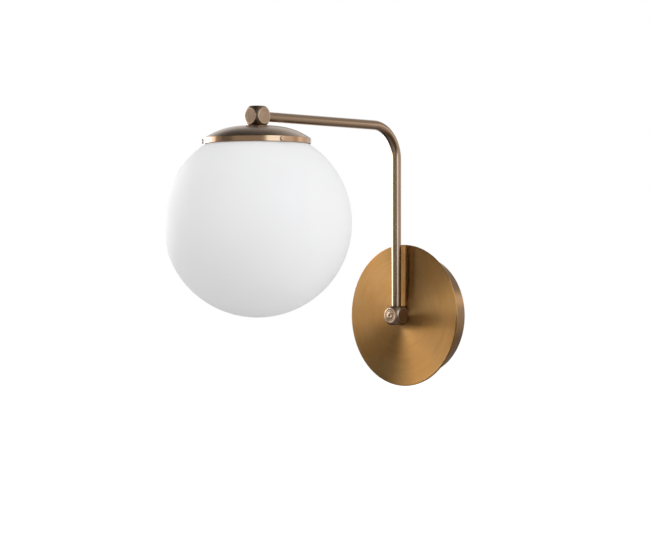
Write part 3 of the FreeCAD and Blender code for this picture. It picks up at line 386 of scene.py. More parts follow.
def disc_brass(colours):
    """The wide disc, brushed in circles, golden."""
    return turned_brass("brushed_disc", colours.disc_light, colours.disc_dark, (0, 0, 0), WALL_AXIS,
                        lines=3600.0, roughness=(0.40, 0.46), grain=1.0, depth=0.000004, changes=2.2,
                        coat=0.08, patina=0.9)


def drum_brass(colours):
    """The drum's side, turned like the disc but a little browner."""
    return turned_brass("turned_drum", colours.drum, colours.arm_dark, (0, 0, 0), WALL_AXIS, lines=2600.0,
                        roughness=(0.18, 0.24), grain=0.3, depth=0.000003, coat=0.2, patina=0.5)


def cap_brass(colours):
    """The dome cap, with the lathe's lines round the globe's axis."""
    return turned_brass("turned_cap", colours.arm_light, colours.arm_dark, GLOBE_AXIS, PLUMB, lines=1500.0,
                        roughness=(0.25, 0.28), grain=0.3, depth=0.000004, coat=0.3)


def band_brass(colours):
    """The cap's polished band, with faint lines round it."""
    return turned_brass("polished_band", colours.band, colours.band_dark, GLOBE_AXIS, PLUMB, lines=2400.0,
                        roughness=(0.16, 0.20), grain=0.2, depth=0.000002, coat=0.2)


def arm_brass(colours):
    """The tube's aged brass, rubbed along its length."""
    finish = Shader("aged_arm_brass", colours.arm_light, metallic=1.0, roughness=0.22)
    sweep = finish.node("ShaderNodeAttribute", attribute_name="sweep").outputs["Vector"]
    drawn = finish.vector("MULTIPLY", sweep, (1.0, 1.0, 0.02))
    streaks = finish.noise(drawn, 600.0, detail=1.0)
    mottle = finish.noise(finish.vector("MULTIPLY", sweep, (1.0, 1.0, 0.3)), 90.0, detail=3.0)
    tone = finish.maths("ADD", finish.maths("MULTIPLY", streaks, 0.4), finish.maths("MULTIPLY", mottle, 0.6))
    finish.paint(finish.blend(finish.spread(tone, 0.0, 1.0), colours.arm_dark, colours.arm_light))
    finish.rough(finish.spread(tone, 0.22, 0.18))
    finish.relief(streaks, 0.0000003)
    finish.lacquer(0.3, 0.25)
    return finish.material


def knuckle_brass(colours, name, centre):
    """A knuckle's aged brass, mottled, with a painted highlight lightening the rims of its flats."""
    finish = Shader(name, colours.arm_light, metallic=1.0, roughness=0.3)
    where = finish.place(offset=tuple(-value for value in centre))
    mottle = finish.noise(where, 150.0, detail=3.0)
    reach = finish.vector("LENGTH", where)
    # A ring just inside each flat's rim, where the painted highlight goes.
    rim_highlight = finish.maths("MULTIPLY", finish.spread(reach, 0.0, 1.0, *RIM_HIGHLIGHT_STARTS),
                          finish.spread(reach, 1.0, 0.0, *RIM_HIGHLIGHT_ENDS))
    across_flat = finish.maths("SQRT", finish.maths("SUBTRACT", finish.maths("MULTIPLY", reach, reach),
                                                    KNUCKLE_HALF ** 2 * 0.999))
    rings = finish.noise(where, 30.0, detail=2.0, along=finish.maths("MULTIPLY", across_flat, 2600.0))
    tone = finish.maths("ADD", finish.maths("MULTIPLY", mottle, 0.5), finish.maths("MULTIPLY", rings, 0.5))
    aged = finish.blend(finish.spread(tone, 0.0, 1.0, 0.36, 0.64), colours.knuckle_dark,
                        colours.knuckle_light)
    # The painted rim highlight lightens that ring towards the pale rim colour.
    finish.paint(finish.blend(finish.maths("MULTIPLY", rim_highlight, 0.45), aged, colours.knuckle_rim_highlight))
    finish.rough(finish.spread(tone, 0.42, 0.34, 0.36, 0.64))
    finish.relief(rings, 0.000012)
    finish.lacquer(0.3, 0.25)
    return finish.material


def opal_glass(colours):
    """Blown opal glass with a satin skin."""
    finish = Shader("opal_glass", colours.opal, roughness=0.5)
    where = finish.place()
    cloud = finish.noise(where, 14.0, detail=2.0)
    paler = tuple(min(1.0, value * 1.03) for value in colours.opal)
    finish.paint(finish.blend(finish.spread(cloud, 0.0, 1.0), colours.opal, paler))
    finish.rough(finish.spread(cloud, 0.46, 0.54))
    finish.relief(finish.noise(where, 60.0, detail=1.0), 0.00003)
    finish.set("Subsurface Weight", 0.35)
    finish.set("Subsurface Radius", (0.006, 0.006, 0.006))
    finish.set("Subsurface Scale", 1.0)
    finish.set("IOR", 1.45)
    finish.set("Specular IOR Level", 0.12)
    finish.set("Sheen Weight", 0.3)
    finish.set("Sheen Roughness", 0.5)
    return finish.material


def plain_finish(name, light, dark, metallic, rough, scale, depth, stretch=(1, 1, 1), settings=()):
    """A finish with a grain of its own in colour, gloss and relief."""
    finish = Shader(name, light, metallic=metallic, roughness=rough[0])
    where = finish.place(scale=stretch)
    grain = finish.noise(where, scale, detail=4.0)
    finish.paint(finish.blend(finish.spread(grain, 0.0, 1.0), dark, light))
    finish.rough(finish.spread(grain, rough[0], rough[1]))
    finish.relief(finish.noise(where, scale * 2.5, detail=2.0), depth)
    for socket, value in settings:
        finish.set(socket, value)
    return finish.material


def zinc_steel():
    """Bright zinc on rolled steel."""
    return plain_finish("zinc_plate", (0.66, 0.68, 0.7), (0.5, 0.52, 0.55), metallic=1.0, rough=(0.24, 0.4),
                        scale=300.0, depth=0.00001, stretch=(1.0, 1.0, 0.2))


def bare_brass():
    """Bare turned brass."""
    return plain_finish("bare_brass", (0.82, 0.6, 0.28), (0.66, 0.45, 0.19), metallic=1.0, rough=(0.2, 0.34),
                        scale=500.0, depth=0.00001)


def black_steel():
    """Blackened steel."""
    return plain_finish("black_steel", (0.05, 0.05, 0.055), (0.025, 0.025, 0.03), metallic=0.6,
                        rough=(0.35, 0.5), scale=700.0, depth=0.00001)


def white_nylon():
    """Natural nylon of the terminal block."""
    return plain_finish("natural_nylon", (0.8, 0.79, 0.74), (0.74, 0.73, 0.67), metallic=0.0,
                        rough=(0.42, 0.55), scale=400.0, depth=0.00002,
                        settings=(("Subsurface Weight", 0.15), ("Subsurface Radius", (0.002, 0.002, 0.002))))


def black_phenolic():
    """Black moulded phenolic of the lampholder."""
    return plain_finish("black_phenolic", (0.022, 0.021, 0.02), (0.012, 0.012, 0.012), metallic=0.0,
                        rough=(0.22, 0.34), scale=260.0, depth=0.00002, settings=(("Coat Weight", 0.2),))


def white_ceramic():
    """Glazed ceramic of the lampholder's carrier."""
    return plain_finish("glazed_ceramic", (0.85, 0.84, 0.8), (0.78, 0.77, 0.72), metallic=0.0,
                        rough=(0.12, 0.25), scale=350.0, depth=0.00002,
                        settings=(("Coat Weight", 0.5), ("Coat Roughness", 0.08)))


def clear_rubber():
    """Translucent silicone of the soft ring."""
    return plain_finish("clear_silicone", (0.8, 0.8, 0.78), (0.72, 0.72, 0.7), metallic=0.0,
                        rough=(0.45, 0.6), scale=300.0, depth=0.00001,
                        settings=(("Subsurface Weight", 0.4), ("Subsurface Radius", (0.002, 0.002, 0.002))))


def cable_plastic(name, light, dark):
    """Soft plastic of a sheath or a core."""
    return plain_finish(name, light, dark, metallic=0.0, rough=(0.36, 0.5), scale=900.0, depth=0.00001)


def earth_plastic():
    """The earth core's green plastic with its yellow stripe."""
    finish = Shader("green_yellow_core", (0.1, 0.36, 0.06), roughness=0.42)
    where = finish.place()
    winding = finish.node("ShaderNodeTexWave", wave_type="BANDS", bands_direction="DIAGONAL")
    finish.link(where, winding.inputs["Vector"])
    winding.inputs["Scale"].default_value = 60.0
    winding.inputs["Distortion"].default_value = 1.0
    stripe = finish.spread(winding.outputs["Fac"], 0.0, 1.0, 0.55, 0.62)
    finish.paint(finish.blend(stripe, (0.1, 0.36, 0.06), (0.85, 0.68, 0.04)))
    finish.rough(finish.spread(finish.noise(where, 900.0), 0.36, 0.5))
    return finish.material


def frosted_glass():
    """Inside frosted glass of the bulb."""
    return plain_finish("frosted_bulb", (0.88, 0.88, 0.86), (0.83, 0.83, 0.81), metallic=0.0,
                        rough=(0.28, 0.4), scale=90.0, depth=0.00001,
                        settings=(("Subsurface Weight", 0.3), ("Subsurface Radius", (0.004, 0.004, 0.004))))


def bulb_aluminium():
    """Rolled aluminium of the bulb's base."""
    return plain_finish("rolled_aluminium", (0.8, 0.8, 0.79), (0.66, 0.66, 0.65), metallic=1.0,
                        rough=(0.2, 0.32), scale=420.0, depth=0.00002)


def black_glass():
    """Black glass of the bulb's insulator."""
    return plain_finish("black_glass", (0.02, 0.02, 0.022), (0.012, 0.012, 0.014), metallic=0.0,
                        rough=(0.08, 0.16), scale=300.0, depth=0.00001)


def tin_solder():
    """Tinned end contact."""
    return plain_finish("tin_solder", (0.6, 0.6, 0.58), (0.46, 0.46, 0.44), metallic=1.0, rough=(0.3, 0.45),
                        scale=600.0, depth=0.00003)


class SCONCE_OT_backplate(Operator):
    """Builds the brushed disc and the drum behind it"""
    bl_idname = "sconce.backplate"
    bl_label = "Disc and drum"

    def execute(self, context):
        size = context.scene.sconce_sizes
        colours = context.scene.sconce_colours
        back, front, edge = size.disc_back, size.disc_front, size.disc_edge
        rim = size.disc_radius - edge
        outline = [(size.hole_radius, back)]
        outline += arc((rim, back + edge), edge, -90, 0, 5)
        outline += arc((rim, front - edge), edge, 0, 90, 5)
        outline += [(size.hole_radius, front)]
        disc = turn_outline(outline, size.steps + DISC_MORE_STEPS)
        disc.transform(ON_WALL)
        make_piece(disc, "brushed_disc", "root", disc_brass(colours), ("front_disc",))
        inside = size.drum_radius - size.drum_wall
        floor = back - size.drum_wall
        outline = [(size.hole_radius, back), (size.drum_radius, back), (size.drum_radius, 0.0), (inside, 0.0),
                   (inside, floor), (size.hole_radius, floor)]
        drum = turn_outline(outline, size.steps)
        ease_edges(drum, 0.25 * MM)
        drum.transform(ON_WALL)
        make_piece(drum, "turned_drum", "root", drum_brass(colours), ("canopy_drum",))
        return {"FINISHED"}


def knuckle_side(ball, half, marked):
    """One flat of a knuckle facing up, with its share of the ball's skin out to the cube's edges."""
    rim = math.sqrt(ball ** 2 - half ** 2)
    edge = 0.25 * MM
    outline = [(0.0, half)]
    if marked:
        outline = [(reach, half - depth) for reach, depth in DIMPLE]
        for groove in GROOVES:
            outline += [(groove, half), (groove + GROOVE_FLANK, half - GROOVE_DEPTH)]
            outline += [(groove + GROOVE_WIDTH, half)]
    outline += [(rim - edge, half), (rim - edge * 0.35, half - 0.035 * MM)]
    lean = math.degrees(math.asin((rim + edge * 0.5) / ball))
    outline += arc((0.0, 0.0), ball, 90 - lean, 90 - lean - 1.0, 1)
    side = turn_outline(outline, KNUCKLE_STEPS, closed=False)
    ring = [item for item in side.edges if len(item.link_faces) == 1]
    for band in range(1, KNUCKLE_BANDS + 1):
        made = bmesh.ops.extrude_edge_only(side, edges=ring)["geom"]
        ring = [item for item in made if isinstance(item, bmesh.types.BMEdge)]
        for vert in (item for item in made if isinstance(item, bmesh.types.BMVert)):
            round_way = Vector((vert.co.x, vert.co.y, 0.0)).normalized()
            if band == 1:
                vert.co = vert.co.normalized() * ball
            square_way = round_way / max(abs(round_way.x), abs(round_way.y)) + Vector((0, 0, 1))
            share = 1.0 / (KNUCKLE_BANDS - band + 1)
            vert.co = vert.co.normalized().lerp(square_way.normalized(), share).normalized() * ball
    bmesh.ops.recalc_face_normals(side, faces=side.faces)
    return side


def cube_knuckle(ball, half, marked):
    """A ball with six flats; the marked sides carry turned grooves and a centre mark."""
    whole = bmesh.new()
    for way in ((1, 0, 0), (-1, 0, 0), (0, 1, 0), (0, -1, 0), (0, 0, 1), (0, 0, -1)):
        side = knuckle_side(ball, half, way in marked)
        side.transform(Vector(way).to_track_quat("Z", "Y").to_matrix().to_4x4())
        mesh = bpy.data.meshes.new("knuckle_side")
        side.to_mesh(mesh)
        side.free()
        whole.from_mesh(mesh)
        bpy.data.meshes.remove(mesh)
    bmesh.ops.remove_doubles(whole, verts=whole.verts, dist=0.01 * MM)
    bmesh.ops.recalc_face_normals(whole, faces=whole.faces)
    return whole


class SCONCE_OT_knuckles(Operator):
    """Builds the two turned cube knuckles"""
    bl_idname = "sconce.knuckles"
    bl_label = "Knuckles"

    def execute(self, context):
        size = context.scene.sconce_sizes
        colours = context.scene.sconce_colours
        lower = cube_knuckle(size.knuckle_ball, KNUCKLE_HALF, ((0, -1, 0),))
        lower.transform(Matrix.Translation(UPRIGHT))
        make_piece(lower, "lower_cube_knuckle", "root",
                   knuckle_brass(colours, "aged_lower_knuckle", UPRIGHT), ("lower_knuckle",))
        upper = cube_knuckle(size.knuckle_ball, KNUCKLE_HALF, ())
        upper.transform(Matrix.Translation(UPPER_KNUCKLE))
        make_piece(upper, "upper_cube_knuckle", "arm",
                   knuckle_brass(colours, "aged_upper_knuckle", UPPER_KNUCKLE), ("upper_knuckle",))
        return {"FINISHED"}


def tube_skin(bm, radius, foot, bend_foot, bend, tip, around):
    """One skin of the arm's tube, drawn up, round the bend and out."""
    ring = bmesh.ops.create_circle(bm, segments=around, radius=radius)["verts"]
    bmesh.ops.translate(bm, verts=ring, vec=(0.0, UPRIGHT.y, foot))
    start = list({edge for vert in ring for edge in vert.link_edges})

    def drawn(edges, step, count):
        for _ in range(count):
            made = bmesh.ops.extrude_edge_only(bm, edges=edges)["geom"]
            bmesh.ops.translate(bm, verts=[item for item in made if isinstance(item, bmesh.types.BMVert)],
                                vec=step)
            edges = [item for item in made if isinstance(item, bmesh.types.BMEdge)]
        return edges

    edges = drawn(start, Vector((0, 0, bend_foot - foot)) / RUN_STEPS, RUN_STEPS)
    ring = list({vert for edge in edges for vert in edge.verts})
    made = bmesh.ops.spin(bm, geom=ring + edges, cent=(0.0, UPRIGHT.y - bend, bend_foot), axis=(1, 0, 0),
                          angle=math.pi / 2, steps=BEND_STEPS)["geom_last"]
    edges = [item for item in made if isinstance(item, bmesh.types.BMEdge)]
    reach = tip - (UPRIGHT.y - bend)
    edges = drawn(edges, Vector((0, reach, 0)) / RUN_STEPS, RUN_STEPS)
    return start, edges


class SCONCE_OT_arm(Operator):
    """Builds the bent tube of the arm"""
    bl_idname = "sconce.arm"
    bl_label = "Arm tube"

    def execute(self, context):
        size = context.scene.sconce_sizes
        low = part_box("arm_tube")[0]
        bend_foot = UPPER_KNUCKLE.z - size.bend_radius
        bm = bmesh.new()
        skins = [tube_skin(bm, radius, low.z, bend_foot, size.bend_radius, low.y, TUBE_SIDES)
                 for radius in (size.tube_radius, size.tube_radius - size.tube_wall)]
        for end in range(2):
            bmesh.ops.bridge_loops(bm, edges=skins[0][end] + skins[1][end])
        bmesh.ops.remove_doubles(bm, verts=bm.verts, dist=1e-7)
        bmesh.ops.recalc_face_normals(bm, faces=bm.faces)
        sweep = bm.verts.layers.float_vector.new("sweep")
        centre = Vector((0, UPRIGHT.y - size.bend_radius, bend_foot))
        quarter = size.bend_radius * math.pi / 2
        for vert in bm.verts:
            local = vert.co - centre
            if local.z <= 0:
                across, along = local.y - size.bend_radius, local.z
            elif local.y <= 0:
                across, along = local.z - size.bend_radius, quarter - local.y
            else:
                across = math.hypot(local.y, local.z) - size.bend_radius
                along = size.bend_radius * math.atan2(local.z, local.y)
            vert[sweep] = Vector((local.x, across, along))
        make_piece(bm, "bent_arm_tube", "arm", arm_brass(context.scene.sconce_colours),
                   ("arm_tube",))
        return {"FINISHED"}


class SCONCE_OT_cap(Operator):
    """Builds the dome cap and its three slotted screws"""
    bl_idname = "sconce.cap"
    bl_label = "Dome cap"

    def execute(self, context):
        size = context.scene.sconce_sizes
        colours = context.scene.sconce_colours
        span = size.cap_radius - size.crown_radius
        radius = (span ** 2 + size.dome_rise ** 2) / (2 * size.dome_rise)
        middle = (size.crown_radius, size.cap_top - radius)
        lean = math.degrees(math.asin(span / radius))
        inner_lean = math.degrees(math.asin((span - size.cap_wall) / (radius - size.cap_wall)))
        foot = size.cap_top - size.dome_rise - size.band_height
        bore = size.cap_radius - size.cap_wall
        outline = [(size.hole_radius, size.cap_top)]
        outline += arc(middle, radius, 90, 90 - lean, 20)
        outline += [(size.cap_radius, foot), (bore, foot)]
        outline += arc(middle, radius - size.cap_wall, 90 - inner_lean, 90, 20)
        outline += [(size.hole_radius, size.cap_top - size.cap_wall)]
        cap = turn_outline(outline, size.steps)
        ease_edges(cap, 0.22 * MM)
        band_top = size.cap_top - size.dome_rise
        for face in cap.faces:
            spot = face.calc_center_median()
            if spot.z < band_top and spot.to_2d().length > bore:
                face.material_index = 1
        cap.transform(ON_GLOBE_AXIS)
        piece = make_piece(cap, "turned_dome_cap", "arm", cap_brass(colours), ("dome_cap",))
        metal = band_brass(colours)
        piece.data.materials.append(metal)
        for index in (1, 2, 3):
            eased_copy("globe_screw_%d" % index, "slotted_globe_screw_%d" % index, "screw_%d" % index,
                       metal, 0.12 * MM)
        return {"FINISHED"}


class SCONCE_OT_globe(Operator):
    """Builds the opal globe with its neck"""
    bl_idname = "sconce.globe"
    bl_label = "Opal globe"

    def execute(self, context):
        size = context.scene.sconce_sizes
        low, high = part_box("globe")
        centre = low.z + size.globe_radius
        inside = size.globe_radius - size.globe_wall
        bore = size.neck_radius - size.globe_wall
        outer_lean = math.degrees(math.acos(size.neck_radius / size.globe_radius))
        inner_lean = math.degrees(math.acos(bore / inside))
        outline = arc((0.0, centre), size.globe_radius, -90, outer_lean, 96)
        outline += [(size.neck_radius, high.z), (bore, high.z)]
        outline += arc((0.0, centre), inside, inner_lean, -90, 64)
        globe = turn_outline(outline, size.steps, closed=False)
        ease_edges(globe, 0.5 * MM)
        globe.transform(ON_GLOBE_AXIS)
        make_piece(globe, "opal_globe", "globe", opal_glass(context.scene.sconce_colours),
                   ("globe",))
        return {"FINISHED"}


class SCONCE_OT_fixings(Operator):
    """Finishes the pieces inside the canopy, the cap and the lampholder"""
    bl_idname = "sconce.fixings"
    bl_label = "Fixings and lampholder"

    def execute(self, context):
        colours = context.scene.sconce_colours
        brass, zinc = bare_brass(), zinc_steel()
        phenolic, nylon = black_phenolic(), white_nylon()
        for node, name, body, slot, material, width in (
                ("wall_bracket", "pressed_wall_bracket", "root", "zinc_steel", zinc, 0.2),
                ("canopy_washer", "flat_washer", "root", "zinc_steel", zinc, 0.12),
                ("canopy_nut", "rear_lock_nut", "root", "zinc_steel", zinc, 0.3),
                ("canopy_nipple", "hollow_canopy_thread", "root", "plain_brass", brass, 0.25),
                ("canopy_screws", "canopy_side_screws", "root", "aged_brass", drum_brass(colours), 0.4),
                ("terminal_block", "moulded_terminal_block", "root", "white_nylon", nylon, 0.4),
                ("terminal_sleeves", "brass_sleeves", "root", "plain_brass", brass, 0.1),
                ("terminal_screws", "wire_screws", "root", "zinc_steel", zinc, 0.12),
                ("block_screw", "block_fixing_screw", "root", "zinc_steel", zinc, 0.25),
                ("earth_screw", "brass_earth_screw", "root", "plain_brass", brass, 0.3),
                ("earth_tag", "crimped_earth_tag", "root", "plain_brass", brass, 0.1),
                ("arm_lock_screw", "socket_grub_screw", "root", "black_steel", black_steel(), 0.12),
                ("cap_stem", "hollow_cap_stem", "arm", "plain_brass", brass, 0.25),
                ("cap_nut", "cap_lock_nut", "arm", "zinc_steel", zinc, 0.3),
                ("holder_cap", "lampholder_cap", "arm", "black_phenolic", phenolic, 0.4),
                ("holder_skirt", "lampholder_skirt", "arm", "black_phenolic", phenolic, 0.3),
                ("holder_carrier", "ceramic_carrier", "arm", "white_ceramic", white_ceramic(), 0.3),
                ("holder_terminals", "lampholder_terminals", "arm", "plain_brass", brass, 0.15),
                ("holder_terminal_screws", "lampholder_screws", "arm", "zinc_steel", zinc, 0.12),
                ("neck_gasket", "silicone_ring", "arm", "clear_rubber", clear_rubber(), 0.2)):
            eased_copy(node, name, body, material, width * MM)
        sheath = cable_plastic("white_sheath", (0.82, 0.82, 0.8), (0.74, 0.74, 0.72))
        brown = cable_plastic("brown_core", (0.16, 0.06, 0.025), (0.11, 0.04, 0.016))
        blue = cable_plastic("blue_core", (0.03, 0.13, 0.45), (0.02, 0.09, 0.34))
        for node, material in (
                ("lead_lower", sheath), ("lead_upper", sheath), ("live_core_lower", brown),
                ("live_core_upper", brown), ("neutral_core_lower", blue), ("neutral_core_upper", blue),
                ("earth_core", earth_plastic()), ("thread_shell", brass), ("centre_contact", brass),
                ("bulb_glass", frosted_glass()), ("bulb_base", bulb_aluminium()),
                ("bulb_insulator", black_glass()), ("bulb_contact", tin_solder())):
            carried = frame["nodes"][node]
            carried.data.materials.clear()
            carried.data.materials.append(material)
        return {"FINISHED"}


def light_panel(name, size, place, aim, power):
    """A soft rectangular lamp that faces a point."""
    lamp = bpy.data.lights.new(name, "AREA")
    lamp.shape = "RECTANGLE"
    lamp.size, lamp.size_y = size
    lamp.energy = power
    holder = bpy.data.objects.new(name, lamp)
    holder.location = place
    holder.rotation_euler = (Vector(aim) - Vector(place)).to_track_quat("-Z", "Y").to_euler()
    holder.visible_glossy = False
    bpy.context.scene.collection.objects.link(holder)


def pale_material(name, albedo, shown):
    """A pale matt surface that looks white to the camera, is clear from its back and keeps shadows."""
    finish = Shader(name, (albedo, albedo, albedo), roughness=0.9)
    path = finish.node("ShaderNodeLightPath")
    seen = finish.maths("MAXIMUM", path.outputs["Is Camera Ray"], path.outputs["Is Transmission Ray"])
    finish.set("Emission Color", (1.0, 1.0, 1.0, 1.0))
    finish.set("Specular IOR Level", 0.0)
    finish.link(finish.maths("MULTIPLY", seen, shown), finish.surface.inputs["Emission Strength"])
    output = finish.tree.nodes["Material Output"]
    clear = finish.node("ShaderNodeBsdfTransparent")
    under = finish.node("ShaderNodeMixShader")
    finish.link(finish.node("ShaderNodeNewGeometry").outputs["Backfacing"], under.inputs["Fac"])
    finish.link(finish.surface.outputs["BSDF"], under.inputs[1])
    finish.link(clear.outputs["BSDF"], under.inputs[2])
    finish.link(under.outputs["Shader"], output.inputs["Surface"])
    return finish.material


def white_world(strength):
    """White surroundings: full white where they are seen, and a plain level where they light the lamp."""
    world = bpy.data.worlds.new("white_surround")
    world.use_nodes = True
    bpy.context.scene.world = world
    tree = world.node_tree
    ground = tree.nodes["Background"]
    ground.inputs["Color"].default_value = (1.0, 1.0, 1.0, 1.0)
    path = tree.nodes.new("ShaderNodeLightPath")
    seen = tree.nodes.new("ShaderNodeMath")
    seen.operation = "MAXIMUM"
    tree.links.new(path.outputs["Is Camera Ray"], seen.inputs[0])
    tree.links.new(path.outputs["Is Transmission Ray"], seen.inputs[1])
    both = tree.nodes.new("ShaderNodeMath")
    both.operation = "MAXIMUM"
    tree.links.new(seen.outputs[0], both.inputs[0])
    tree.links.new(path.outputs["Is Glossy Ray"], both.inputs[1])
    level = tree.nodes.new("ShaderNodeMapRange")
    level.inputs["To Min"].default_value = strength
    level.inputs["To Max"].default_value = 1.0
    tree.links.new(both.outputs[0], level.inputs["Value"])
    tree.links.new(level.outputs["Result"], ground.inputs["Strength"])


# What the metal mirrors, as soft windows and dark walls in a white tent: azimuth from the wall's outward
# direction towards +X, half width, elevation, half height and softness, all in degrees, and the colour shown.
TENT_RADIUS = 0.9
REFLECTIONS = (
    ("ceiling", (0, 200, 90, 34, 28), (0.15, 0.15, 0.15)),
    ("left ceiling", (-62, 52, 72, 30, 16), (0.10, 0.10, 0.10)),
    ("ground", (0, 200, -60, 28, 16), (0.12, 0.12, 0.12)),
    ("front wall", (3, 52, 0, 90, 8), (0.52, 0.52, 0.52)),
    ("front left wall", (-20, 13, 6, 24, 10), (0.26, 0.26, 0.26)),
    ("front shelf", (10, 46, -1.2, 5.7, 3), (0.13, 0.09, 0.05)),
    ("front ceiling", (3, 52, 60, 38, 14), (0.06, 0.06, 0.06)),
    ("front ground", (3, 52, -50, 36, 20), (0.36, 0.36, 0.36)),
    ("left ground", (-92, 42, -48, 44, 6), (0.08, 0.08, 0.08)),
    ("back ceiling", (155, 40, 55, 30, 14), (0.60, 0.60, 0.60)),
    ("back ground", (168, 42, -52, 40, 26), (0.38, 0.37, 0.36)),
    ("right ground", (80, 36, -29, 34, 4), (0.16, 0.14, 0.12)),
    ("right skirting", (120, 9, -34, 31, 6), (0.30, 0.26, 0.22)),
    ("left window", (-71, 22, 16, 19, 5), (2.6, 2.6, 2.6)),
    ("left window's heart", (-80, 16, 13.5, 17, 8), (6.9, 6.9, 6.9)),
    ("far left window", (-112, 20, 7, 10, 6), (4.0, 4.0, 4.0)),
    ("right pier", (129, 8, 8, 34, 8), (0.82, 0.81, 0.80)),
    ("right window", (76, 18, 23, 24, 4), (2.3, 2.8, 3.4)),
    ("right wall", (105, 15, 24, 22, 8), (1.2, 1.2, 1.25)),
    ("back window", (145, 8, 18, 7, 8), (1.9, 1.8, 1.7)),
)


def reflection_tent(middle):
    """A tent round the lamp, whose windows and dark walls only the metal and the glass mirror."""
    bm = bmesh.new()
    bmesh.ops.create_uvsphere(bm, u_segments=96, v_segments=48, radius=TENT_RADIUS)
    bmesh.ops.translate(bm, verts=bm.verts, vec=middle)
    mesh = bpy.data.meshes.new("reflection_tent")
    bm.to_mesh(mesh)
    bm.free()
    finish = Shader("reflection_tent", (0.0, 0.0, 0.0), roughness=1.0)
    way = finish.vector("NORMALIZE", finish.place(offset=tuple(-middle)))
    parts = finish.node("ShaderNodeSeparateXYZ")
    finish.link(way, parts.inputs[0])
    backwards = finish.maths("MULTIPLY", parts.outputs["Y"], -1.0)
    turn = 180.0 / math.pi
    azimuth = finish.maths("MULTIPLY", finish.maths("ARCTAN2", parts.outputs["X"], backwards), turn)
    elevation = finish.maths("MULTIPLY", finish.maths("ARCSINE", parts.outputs["Z"]), turn)
    level = (1.0, 1.0, 1.0)
    for name, (side, half_width, height, half_height, soft), shade in REFLECTIONS:
        wrapped = finish.node("ShaderNodeMath", operation="WRAP", label=name)
        finish.link(finish.maths("SUBTRACT", azimuth, side), wrapped.inputs[0])
        wrapped.inputs[1].default_value = 180.0
        wrapped.inputs[2].default_value = -180.0
        across = finish.maths("ABSOLUTE", wrapped.outputs[0])
        above = finish.maths("ABSOLUTE", finish.maths("SUBTRACT", elevation, height))
        beside = finish.spread(across, 1.0, 0.0, half_width - soft / 2, half_width + soft / 2)
        within = finish.spread(above, 1.0, 0.0, half_height - soft / 2, half_height + soft / 2)
        level = finish.blend(finish.maths("MULTIPLY", beside, within), level, shade)
    finish.set("Specular IOR Level", 0.0)
    finish.set("Emission Strength", 1.0)
    finish.link(level, finish.surface.inputs["Emission Color"])
    mesh.materials.append(finish.material)
    tent = bpy.data.objects.new("reflection_tent", mesh)
    bpy.context.scene.collection.objects.link(tent)
    tent.visible_camera = False
    tent.visible_diffuse = False
    tent.visible_shadow = False
    tent.visible_transmission = False


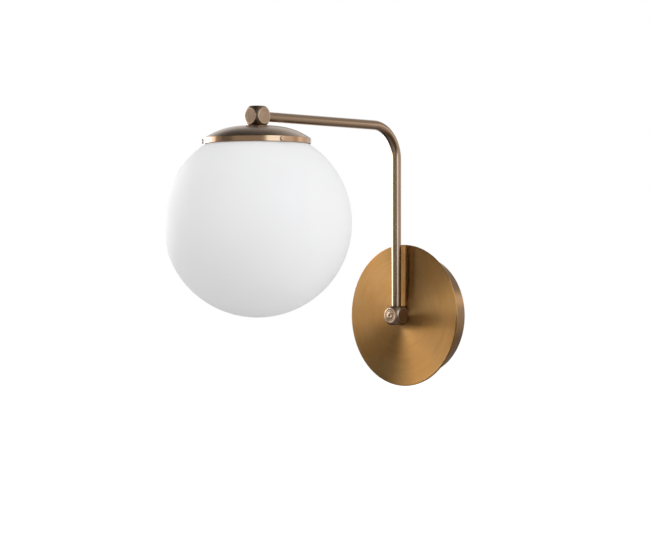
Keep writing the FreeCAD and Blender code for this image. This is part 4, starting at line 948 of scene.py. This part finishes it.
class SCONCE_OT_stage(Operator):
    """Sets the floor, the light and the camera"""
    bl_idname = "sconce.stage"
    bl_label = "Stage"

    def execute(self, context):
        stage = context.scene.sconce_stage
        bm = bmesh.new()
        bmesh.ops.create_grid(bm, x_segments=1, y_segments=1, size=FLOOR_REACH)
        bmesh.ops.translate(bm, verts=bm.verts, vec=(0.0, 0.0, FLOOR_HEIGHT))
        mesh = bpy.data.meshes.new("pale_floor")
        bm.to_mesh(mesh)
        bm.free()
        mesh.materials.append(pale_material("pale_floor", 0.8, 0.7))
        floor = bpy.data.objects.new("pale_floor", mesh)
        context.scene.collection.objects.link(floor)
        floor.visible_glossy = False
        white_world(stage.surround)
        around = Matrix.Rotation(stage.azimuth, 3, "Z")
        middle = Vector((0.0, -stage.aim_out, 0.0))

        def seen_from(side, away, up):
            """A place by its distance to the camera's right, towards the camera, and up."""
            return middle + around @ Vector((side, -away, up))

        light_panel("right_softbox", (1.2, 1.2), seen_from(1.0, 1.1, 0.55), middle, 8.9)
        light_panel("left_softbox", (1.0, 1.2), seen_from(-1.6, 0.5, 0.9), middle, 5.4)
        reflection_tent(middle)
        backwards = around @ Vector((0.0, -math.cos(stage.elevation), 0.0))
        backwards.z = math.sin(stage.elevation)
        right = around @ Vector((1.0, 0.0, 0.0))
        upwards = backwards.cross(right)
        aim = middle + right * stage.aim_right + upwards * stage.aim_up
        camera = bpy.data.cameras.new("photo_camera")
        camera.lens = stage.lens
        camera.sensor_width = 36.0
        holder = bpy.data.objects.new("photo_camera", camera)
        holder.location = aim + backwards * stage.distance
        holder.rotation_mode = "QUATERNION"
        holder.rotation_quaternion = (-backwards).to_track_quat("-Z", "Y")
        context.scene.collection.objects.link(holder)
        context.scene.camera = holder
        context.scene.view_settings.view_transform = "Standard"
        return {"FINISHED"}


PIECES = (SCONCE_OT_backplate, SCONCE_OT_knuckles, SCONCE_OT_arm, SCONCE_OT_cap, SCONCE_OT_globe,
          SCONCE_OT_fixings, SCONCE_OT_stage)


class SCONCE_PT_panel(Panel):
    """Lists the lamp's pieces"""
    bl_label = "Globe wall sconce"
    bl_idname = "SCONCE_PT_panel"
    bl_space_type = "VIEW_3D"
    bl_region_type = "UI"
    bl_category = "Sconce"

    def draw(self, context):
        for piece in PIECES:
            self.layout.operator(piece.bl_idname)
        for group in (context.scene.sconce_sizes, context.scene.sconce_colours, context.scene.sconce_stage):
            box = self.layout.box()
            for name in group.__annotations__:
                box.prop(group, name)


GROUPS = (SconceSizes, SconceColours, SconceStage)


def register():
    for kind in GROUPS + PIECES + (SCONCE_PT_panel,):
        bpy.utils.register_class(kind)
    bpy.types.Scene.sconce_sizes = PointerProperty(type=SconceSizes)
    bpy.types.Scene.sconce_colours = PointerProperty(type=SconceColours)
    bpy.types.Scene.sconce_stage = PointerProperty(type=SconceStage)


def unregister():
    del bpy.types.Scene.sconce_stage
    del bpy.types.Scene.sconce_colours
    del bpy.types.Scene.sconce_sizes
    for kind in reversed(GROUPS + PIECES + (SCONCE_PT_panel,)):
        bpy.utils.unregister_class(kind)


def main():
    """Builds every piece and the stage."""
    register()
    bpy.ops.sconce.backplate()
    bpy.ops.sconce.knuckles()
    bpy.ops.sconce.arm()
    bpy.ops.sconce.cap()
    bpy.ops.sconce.globe()
    bpy.ops.sconce.fixings()
    bpy.ops.sconce.stage()
    bpy.context.view_layer.update()


if __name__ == "__main__":
    main()
